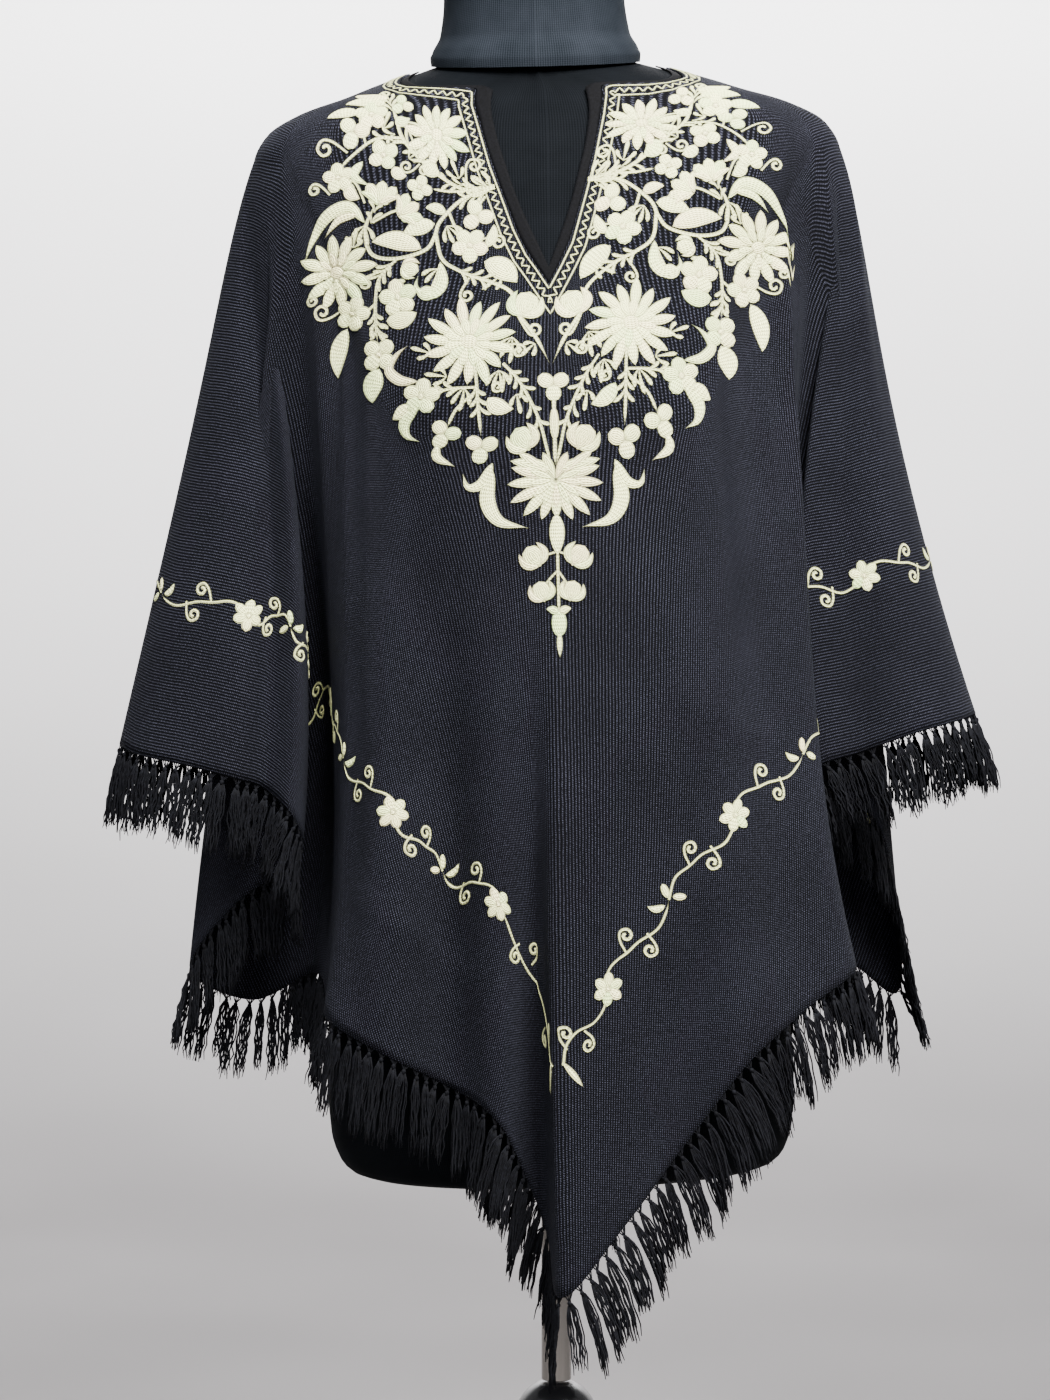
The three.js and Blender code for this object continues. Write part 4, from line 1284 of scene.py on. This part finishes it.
def make_yoke():
    st = Stitches("yoke_embroidery", place_yoke)
    for side in (1, -1):
        st.side = side
        half_yoke(st)
    st.side = 1
    st.trefoil((1, 33), 11, -90)
    st.seed((1, 8), 90, -11, 11, 3.2, 0.4)
    st.stem([(1, 24), (1, 8), (1, -18)], 1.5)
    st.fan(np.array([1.0, -27.0]), 31)
    st.leaf((1, -48), (1, -75), 4.2, 0, 0.9)
    st.stem([(1, -66), (1, -90), (1, -112)], 1.2)
    st.stem([(1, -72), (7, -74), (12, -75)], 1.0)
    st.stem([(1, -72), (-6, -74), (-12, -75)], 1.0)
    st.stem([(1, -84), (5, -90), (8, -95)], 1.0)
    st.stem([(1, -84), (-5, -90), (-8, -95)], 1.0)
    st.seed((1, -117), -90, -9, 9, 5.0, 0.5)
    st.leaf((1, -111), (9, -108), 2.4, 0.1, 0.9)
    st.leaf((1, -111), (-7, -108), 2.4, -0.1, 0.9)
    st.leaf((1, -122), (1, -139), 1.7, 0, 0.4)
    return st.build(THREAD)


# The trim round the neck: two plain lines with a zigzag between them, at these distances from the edge.
TRIM_LINES = (2.4, 10.8)
TRIM_HALF = 0.85
ZIGZAG_MIDDLE = 6.6
ZIGZAG_REACH = 1.9
ZIGZAG_STEP = 6.2
ZIGZAG_POINTED = 0.97
ZIGZAG_PEAK = 1.33
TRIM_ANGLES = [0, 2.2, 4.5, 7, 8.6, 11, 13.5, 15.6, 19, 25, 32, 40, 48, 56, 63]


def inset(line, distance):
    """The line moved aside by a distance, with its corners kept sharp."""
    run = np.diff(line, axis=0)
    run /= np.linalg.norm(run, axis=1, keepdims=True)
    beside = np.stack([run[:, 1], -run[:, 0]], axis=-1)
    before = np.concatenate([beside[:1], beside])
    after = np.concatenate([beside, beside[-1:]])
    share = 1 + np.sum(before * after, axis=1, keepdims=True)
    return line + distance * (before + after) / np.maximum(share, 0.25)


def zigzag(line):
    """A wavy line about a given one."""
    fine = even_line(line, 1.0)
    run = np.gradient(fine, axis=0)
    run /= np.linalg.norm(run, axis=1, keepdims=True)
    beside = np.stack([-run[:, 1], run[:, 0]], axis=-1)
    walk = np.arange(len(fine))
    wave = np.arcsin(ZIGZAG_POINTED * np.sin(2 * math.pi * walk / ZIGZAG_STEP)) / ZIGZAG_PEAK
    return fine + beside * (ZIGZAG_REACH * wave)[:, None]


def yoke_spot(angle, z):
    """Flat yoke coordinates of a point of the neck edge."""
    angle, z = np.asarray(angle, float), np.asarray(z, float)
    spots = on_form(angle, z)
    flat = lean(spots)
    found = []
    for spot, x in zip(flat, spots[:, 0]):
        column = (x - YOKE_ACROSS[0]) / YOKE_GAP
        rows = YOKE_POINTS[:, int(round(column))]
        near = np.argmin(np.linalg.norm(rows - spot, axis=1))
        found.append((x - YOKE_MIDDLE, YOKE_UP[near]))
    return np.array(found)


def place_flat(spots):
    return yoke_read(spots[:, 0] + YOKE_MIDDLE, spots[:, 1])


TRIM_REACH = 40


def place_collar(spots):
    """Places by the angle round the neck and the distance from the edge, for the sides and the back."""
    angle, away = spots[:, 0], spots[:, 1]
    edge = neck_height(angle)
    drops = np.linspace(0, TRIM_REACH, 33)[:, None]
    line = on_form(np.broadcast_to(angle, (len(drops), len(angle))), edge - drops)
    lengths = walked(line)
    drop = np.array([np.interp(away[i], lengths[:, i], drops[:, 0]) for i in range(len(angle))])
    return lean(on_form(angle, edge - drop)), lean_turn(form_normal(angle, edge - drop))


def lean_turn(vectors):
    c, s = math.cos(LEAN), math.sin(LEAN)
    x, y, z = vectors[..., 0], vectors[..., 1], vectors[..., 2]
    return np.stack([x * c - z * s, y, x * s + z * c], axis=-1)


def make_trim():
    st = Stitches("neck_trim", place_flat)
    right = np.array(TRIM_ANGLES, float)
    angles = np.concatenate([-right[:0:-1], right])
    base = yoke_spot(angles, neck_height(angles))
    for distance in TRIM_LINES:
        st.stroke(even_line(inset(base, distance), 1.6), TRIM_HALF, 0.3, 0.5)
    st.stroke(zigzag(inset(base, ZIGZAG_MIDDLE)), TRIM_HALF, 0.3, 0.5)
    front_part = st.build(THREAD)
    st = Stitches("neck_trim_back", place_collar)
    last = TRIM_ANGLES[-1]
    turn = np.arange(last, 360 - last + 0.01, 1.2)
    for distance in TRIM_LINES:
        st.stroke_at(turn, np.full(len(turn), distance), TRIM_HALF)
    wave = ZIGZAG_MIDDLE + ZIGZAG_REACH * np.sin(turn * 1.3)
    st.stroke_at(turn, wave, TRIM_HALF)
    return front_part, st.build(THREAD)


# How far above the hem the vine runs, measured down the cloth, by fold.
VINE_RISE = {
    "front_point": 143,
    "front_flat": 160,
    "front_dip": 158,
    "front_swell": 150,
    "right_turn": 146,
    "right_edge": 148,
    "right_wall": 145,
    "right_pleat": 120,
    "right_flap": 110,
    "right_shoulder": 107,
    "right_rear_flap": 110,
    "right_rear_pleat": 122,
    "right_rear_edge": 150,
    "rear_swell_r": 160,
    "rear_point": 143,
    "rear_swell_l": 160,
    "left_rear_edge": 150,
    "left_rear_pleat": 122,
    "left_rear_flap": 110,
    "left_shoulder": 107,
    "left_flap": 107,
    "left_flap_in": 107,
    "left_pleat": 138,
    "left_tuck": 165,
    "left_wall": 190,
    "left_under": 180,
    "left_edge": 162,
    "left_swell": 156,
    "left_dip": 134,
    "left_flute": 142,
    "front_step": 152,
}
# Where the vine's flowers sit, in millimetres along it from the front point, on the right and the left.
# The others follow evenly up to the rear point.
VINE_FLOWERS = {1: [55, 190, 325, 455, 580, 706], -1: [118, 218, 340, 450, 560, 633]}
VINE_REPEAT = 137
VINE_END = 55


class HalfRing:
    """One side of the cloth's lower part, from the front point round to the rear point."""

    def __init__(self, at, grid, normals):
        self.ground = Ground(grid, normals)
        self.above = walked(grid[::-1])[::-1]
        names = sorted((FOLD_NAMES.index(k), v) for k, v in VINE_RISE.items())
        knots = [r for r, _ in names] + [FOLD_COUNT]
        rises = [v for _, v in names] + [VINE_RISE["front_point"]]
        self.rise = np.interp(np.mod(at, FOLD_COUNT), knots, rises)
        self.at = at
        columns = np.arange(len(at), dtype=float)
        line, _ = self.read(columns, self.rise)
        up, _ = self.read(columns, self.rise + 4)
        run = unit(np.gradient(line, axis=0))
        rise = unit(up - line)
        self.slope = np.clip(np.sum(run * rise, axis=1), -0.85, 0.85)
        self.slope = np.convolve(np.pad(self.slope, 6, mode="edge"), np.ones(13) / 13, mode="valid")
        self.lengths = walked(line)

    def read(self, column, above):
        c = np.clip(column.astype(int), 0, self.above.shape[1] - 2)
        rows = np.arange(self.above.shape[0], dtype=float)[::-1]
        found = []
        for k in range(len(column)):
            low = np.interp(above[k], self.above[::-1, c[k]], rows)
            high = np.interp(above[k], self.above[::-1, c[k] + 1], rows)
            found.append(mix(low, high, column[k] - c[k]))
        return self.ground.read(np.array(found), column)

    def place(self, spots):
        """Flat places, along the vine and square to it, as points of the cloth."""
        column = np.interp(spots[:, 0], self.lengths, np.arange(len(self.lengths)))
        slope = np.interp(column, np.arange(len(self.slope)), self.slope)
        cross = np.sqrt(1 - slope**2)
        along = spots[:, 0] - spots[:, 1] * slope / cross
        column = np.interp(along, self.lengths, np.arange(len(self.lengths)))
        base = np.interp(column, np.arange(len(self.rise)), self.rise)
        return self.read(column, base + spots[:, 1] / cross)


def vine_stretch(st, start, end):
    """The vine from one flower to the next: paired scrolls, buds and paired scrolls again."""

    def at(share, off):
        return (mix(start, end, share), off)

    st.stem([at(0, 4), at(0.09, 6), at(0.18, 2), at(0.26, 0), at(0.36, -5), at(0.45, -3), at(0.5, 0)], 1.1)
    st.stem([at(0.5, 0), at(0.6, 5), at(0.69, 2), at(0.76, 0), at(0.85, -6), at(0.93, -5), at(1, -2)], 1.1)
    for share in (0.25, 0.75):
        st.curl(at(share - 0.065, 2), at(share, 8.5), 5, -1)
        st.curl(at(share + 0.065, -1), at(share + 0.01, -8.5), 5, -1)
    st.seed(at(0.5, 0), 60, 1, 11, 2.8, 0.4)
    st.seed(at(0.515, 0), -50, 1, 10, 2.6, 0.4)
    st.leaf(at(0.47, 0), at(0.415, 9), 2.2, 0.2, 0.4)


def vine_end(st, tip, flower):
    """The vine from the point of the cloth to the flower nearest to it."""
    span = abs(flower - tip)

    def at(share, off):
        return (mix(tip, flower, share), off)

    st.stem([at(0.02, -3), at(0.2, 4), at(0.4, 4), at(0.6, -3), at(0.8, -4), at(1, 0)], 1.1)
    for share in (0.3,) if span < 90 else (0.2, 0.68):
        st.curl(at(share - 7 / span, 2), at(share, 9), 5, -1)
        st.curl(at(share + 9 / span, 0), at(share + 4 / span, -8), 5, -1)
    st.leaf(at(0.04, -1), at(0.02, -24), 1.8, 0, 0.3)


def make_vines():
    """The vine inside the hem, as a front piece and a back piece."""
    fronts, backs = PANELS["front_cloth"], PANELS["back_cloth"]
    rear = FOLD_NAMES.index("rear_point")
    right_at = np.concatenate([fronts[0], backs[0][1:] + FOLD_COUNT])
    left_at = np.concatenate([backs[0], fronts[0][1:]])
    right = [np.concatenate([fronts[k], backs[k][:, 1:]], axis=1) for k in (1, 2)]
    left = [np.concatenate([backs[k], fronts[k][:, 1:]], axis=1) for k in (1, 2)]
    used = {
        1: (right_at >= FOLD_COUNT) & (right_at <= FOLD_COUNT + rear),
        -1: (left_at >= rear) & (left_at <= FOLD_COUNT),
    }
    rings = {
        1: HalfRing(right_at[used[1]], *(part[:, used[1]] for part in right)),
        -1: HalfRing(left_at[used[-1]][::-1], *(part[:, used[-1]][:, ::-1] for part in left)),
    }
    shoulders = {1: FOLD_COUNT + FOLD_NAMES.index("right_shoulder"), -1: FOLD_NAMES.index("left_shoulder")}
    front_vine, back_vine = Stitches("vine_front", None), Stitches("vine_back", None)
    for side, ring in rings.items():
        front_vine.place = back_vine.place = ring.place
        whole = ring.lengths[-1]
        shoulder = ring.lengths[np.argmin(np.abs(ring.at - shoulders[side]))]
        flowers = VINE_FLOWERS[side]
        count = round((whole - VINE_END - flowers[-1]) / VINE_REPEAT)
        flowers = flowers + list(np.linspace(flowers[-1], whole - VINE_END, count + 1)[1:])
        for start, end in zip(flowers, flowers[1:]):
            vine_stretch(front_vine if (start + end) / 2 < shoulder else back_vine, start, end)
        for flower in flowers:
            (front_vine if flower < shoulder else back_vine).rosette((flower, 0), 10.8, 6, 90)
        vine_end(front_vine, 0, flowers[0])
        vine_end(back_vine, whole, flowers[-1])
    return front_vine.build(THREAD), back_vine.build(THREAD)


yoke = make_yoke()
trim, back_trim = make_trim()
vine_front, vine_back = make_vines()


FACING_LOW = 0.6
FACING_SINK = 0.5
FACING_THICK = 1.0


def facing_material():
    stops = [(0.3, (0.0004, 0.0004, 0.0006)), (0.75, (0.0018, 0.0018, 0.0026))]
    return thread_stock("facing", (0.001, 0.001, 0.0013), 700, stops, (0.3, 0.0003), Specular_IOR_Level=0.06)


def make_facing():
    """The narrow strip inside the neck edge of the front."""
    near = np.arange(0, 20, 0.5)
    right = np.concatenate([near, np.arange(20, 90.1, 2.5)])
    angle = np.concatenate([-right[:0:-1], right])
    low = neck_height(angle) + FACING_LOW
    high = neck_height(angle, "facing")
    z = mix(high, low, np.linspace(0, 1, 5)[:, None])
    angle = np.broadcast_to(angle, z.shape)
    grid = lean(on_form(angle, z) - form_normal(angle, z) * FACING_SINK)
    piece = mesh_object("facing_strip", grid.reshape(-1, 3), grid_faces(*z.shape), facing_material())
    thicken(piece, FACING_THICK)
    return keep(piece, "facing", "neck_facing")


# The fringe, run by run: its cloth, its first and last fold, how far its locks hang square to the hem, how
# far they sweep sideways, how long they are and how much they crimp.
FRINGES = [
    ("front_right", "front_cloth", "front_point", "right_edge", 0.60, 0.05, 50, 1.5),
    ("side_right", "front_cloth", "right_edge", "right_shoulder", 0.45, 0.26, 46, 2.1),
    ("rear_right", "back_cloth", "right_shoulder", "rear_point", 0.35, 0.05, 48, 1.6),
    ("rear_left", "back_cloth", "rear_point", "left_shoulder", 0.35, -0.05, 48, 1.6),
    ("side_left", "front_cloth", "left_shoulder", "left_edge", 0.40, -0.16, 47, 2.3),
    ("front_left", "front_cloth", "left_edge", "front_point", 0.42, -0.04, 50, 1.5),
]
FIRST_SEED = 40
LOCK_SPACING = 8.6
LOCK_YARNS = 12
YARN_RADIUS = 0.6
KNOT_DROP = 3.8
KNOT_LENGTH = 3.6
DOWN = np.array([0, 0, -1.0])


class Yarns:
    """Thin tubes gathered into one mesh."""

    def __init__(self):
        self.points, self.faces = [], []

    def add(self, line, radii, out, sides=3):
        run = unit(np.gradient(line, axis=0))
        beside = unit(np.cross(run, out))
        front = np.cross(beside, run)
        first = len(self.points)
        for k in range(sides):
            turn = 2 * math.pi * k / sides
            ring = math.cos(turn) * front + math.sin(turn) * beside
            self.points.extend((line + ring * radii[:, None]).tolist())
        count = len(line)
        for k in range(sides):
            a, b = first + k * count, first + (k + 1) % sides * count
            self.faces.extend((a + i, b + i, b + i + 1, a + i + 1) for i in range(count - 1))
        self.faces.append(tuple(first + k * count for k in reversed(range(sides))))
        self.faces.append(tuple(first + (k + 1) * count - 1 for k in range(sides)))


def evened(values, reach=5):
    padded = np.pad(values, ((reach, reach), (0, 0)), mode="edge")
    kernel = np.ones(2 * reach + 1) / (2 * reach + 1)
    return np.stack([np.convolve(padded[:, k], kernel, mode="valid") for k in range(3)], axis=-1)


def make_fringe(seed, name, panel, from_name, to_name, square, sweep, length, crimp):
    at, grid, normals = PANELS[panel]
    ends = [FOLD_NAMES.index(n) for n in (from_name, to_name)]
    low, high = (row + FOLD_COUNT * (row < at[0]) for row in ends)
    along = unit(np.gradient(grid[-1], axis=0))
    drop = unit(evened(unit(grid[-1] - grid[-4])))
    drop = unit(drop - np.sum(drop * along, axis=1, keepdims=True) * along * 0.9)
    used = (at >= low) & (at <= high)
    hem, along, drop, out = (part[used] for part in (grid[-1], along, drop, normals[-1]))
    lengths = walked(hem)
    count = round(lengths[-1] / LOCK_SPACING)
    walk = (np.arange(count) + 0.5) * lengths[-1] / count
    hem, along, drop, out = (
        np.stack([np.interp(walk, lengths, part[:, j]) for j in range(3)], axis=-1)
        for part in (hem, along, drop, out)
    )
    rng = np.random.default_rng(seed)
    yarns = Yarns()
    t = np.linspace(0, 1, 9)[:, None]
    for root, way, fall, face in zip(hem, unit(along), unit(drop), unit(out)):
        fall = unit(mix(DOWN, fall, square) + np.array([sweep, 0, 0]) + way * rng.normal(0, 0.09))
        below = unit(mix(fall, DOWN, 0.3)) * KNOT_DROP * rng.uniform(0.85, 1.25)
        knot = root + below + way * rng.normal(0, 0.7)
        for foot in (-3.4, -1.2, 1.4, 3.4):
            start = root + way * foot - fall * 1.4
            line = mix(start, knot, np.linspace(0, 1, 4)[:, None])
            yarns.add(line, np.full(4, 0.5), face)
        grip = np.array([0.6, 1.35, 1.5, 1.2, 0.7])
        yarns.add(knot + fall * KNOT_LENGTH * np.linspace(-0.3, 0.7, 5)[:, None], grip, face, 5)
        reach = length * rng.uniform(0.84, 1.1)
        beat = rng.uniform(2.2, 3.6)
        start = knot + fall * KNOT_LENGTH * 0.4
        width = rng.uniform(6.5, 9.5)
        swell = np.minimum(1, 0.3 + 4 * t) * (1 - 0.15 * t)
        for j in range(LOCK_YARNS):
            spread = (j / (LOCK_YARNS - 1) - 0.5) * width + rng.normal(0, 0.5)
            depth = rng.normal(0, 1.8)
            own = reach * rng.uniform(0.86, 1.03)
            phase, turns = rng.uniform(0, 6.28), beat * rng.uniform(0.85, 1.2)
            wave = crimp * rng.uniform(0.2, 0.6) * np.minimum(1, 3.5 * t)
            line = start + fall * own * t + (DOWN - fall) * own * 0.3 * t * t
            line = line + way * (spread * swell + wave * np.sin(phase + 6.28 * turns * t))
            line = line + face * (depth * t + 0.7 * wave * np.cos(phase + 6.28 * turns * t))
            yarns.add(line, YARN_RADIUS * np.array([1] * 7 + [0.8, 0.45]), face)
    piece = mesh_object("yarns_" + name, yarns.points, yarns.faces, YARN)
    return keep(piece, "yarn", "fringe_" + name)


facing_strip = make_facing()
yarns = [make_fringe(FIRST_SEED + k, *run) for k, run in enumerate(FRINGES)]
make_stand()
make_form()

# The camera stands where the photographer stood: level, two metres off, with the whole picture's height
# of 938 mm at the middle of the form.
CAMERA_PLACE = (-0.021, -2.0, 1.025)
FIELD_HEIGHT = 0.938
SENSOR = 36.0


def make_camera():
    data = bpy.data.cameras.new("camera")
    data.sensor_fit = "VERTICAL"
    data.sensor_height = SENSOR
    data.lens = SENSOR * -CAMERA_PLACE[1] / FIELD_HEIGHT
    camera = bpy.data.objects.new("camera", data)
    camera.location = CAMERA_PLACE
    camera.rotation_euler = (math.radians(90), 0, 0)
    bpy.context.scene.collection.objects.link(camera)
    bpy.context.scene.camera = camera


def make_stage():
    """A pale floor that curves up into a wall behind, with painted shade that darkens it from high on the
    wall down to the floor.
    """
    half, front_y, back_y, radius, height = 7000, -6000, 6200, 2400, 6000
    turns = np.linspace(0, math.pi / 2, 16)
    bend = [(back_y - radius + radius * math.sin(t), radius - radius * math.cos(t)) for t in turns]
    profile = [(front_y, 0), *bend, (back_y, height)]
    points = [(x, y, z) for y, z in profile for x in (-half, half)]
    faces = [(2 * i, 2 * i + 1, 2 * i + 3, 2 * i + 2) for i in range(len(profile) - 1)]
    m = Nodes("backdrop_painted_shade", (0.8, 0.8, 0.8), 0.9)
    spot = m.add("TexCoord")["Object"]
    # Painted shade: the colour grows darker with less height, down to dark grey at the floor, with a faint
    # random mottle.
    tone = m.add("SeparateXYZ", Vector=spot)[2] * 0.3 + m.noise(spot, 0.8, 2) * 0.12
    stops = [(0.02, (0.12, 0.113, 0.115)), (0.5, (0.56, 0.545, 0.55)), (0.9, (0.93, 0.92, 0.925))]
    stage = mesh_object("floor_and_wall", points, faces, m.finish(m.ramp(tone, stops)))


def area_light(name, place, target, size, power, colour):
    data = bpy.data.lights.new(name, "AREA")
    data.shape = "RECTANGLE"
    data.size, data.size_y = size
    data.energy = power
    data.color = colour
    light = bpy.data.objects.new(name, data)
    light.location = place
    light.rotation_euler = (Vector(target) - Vector(place)).to_track_quat("-Z", "Y").to_euler()
    bpy.context.scene.collection.objects.link(light)


def make_lights():
    middle = (0, 0, 1.15)
    area_light("key", (0.7, -1.7, 3.0), middle, (1.3, 1.3), 470, (1, 0.99, 0.97))
    area_light("fill", (-2.2, -1.7, 2.3), middle, (1.4, 1.6), 60, (0.96, 0.98, 1))
    area_light("top", (0.1, 0.2, 3.1), middle, (2.4, 1.6), 60, (1, 1, 1))
    area_light("rear", (0.6, 2.0, 2.3), middle, (1.8, 1.4), 20, (1, 1, 1))
    area_light("wall", (0.2, 3.4, 4.8), (0, 6.2, 2.9), (6, 1), 900, (1, 1, 1))
    world = bpy.data.worlds.new("world")
    world.use_nodes = True
    world.node_tree.nodes["Background"].inputs[0].default_value = (0.88, 0.89, 0.92, 1)
    world.node_tree.nodes["Background"].inputs[1].default_value = 0.4
    bpy.context.scene.world = world


make_camera()
make_stage()
make_lights()
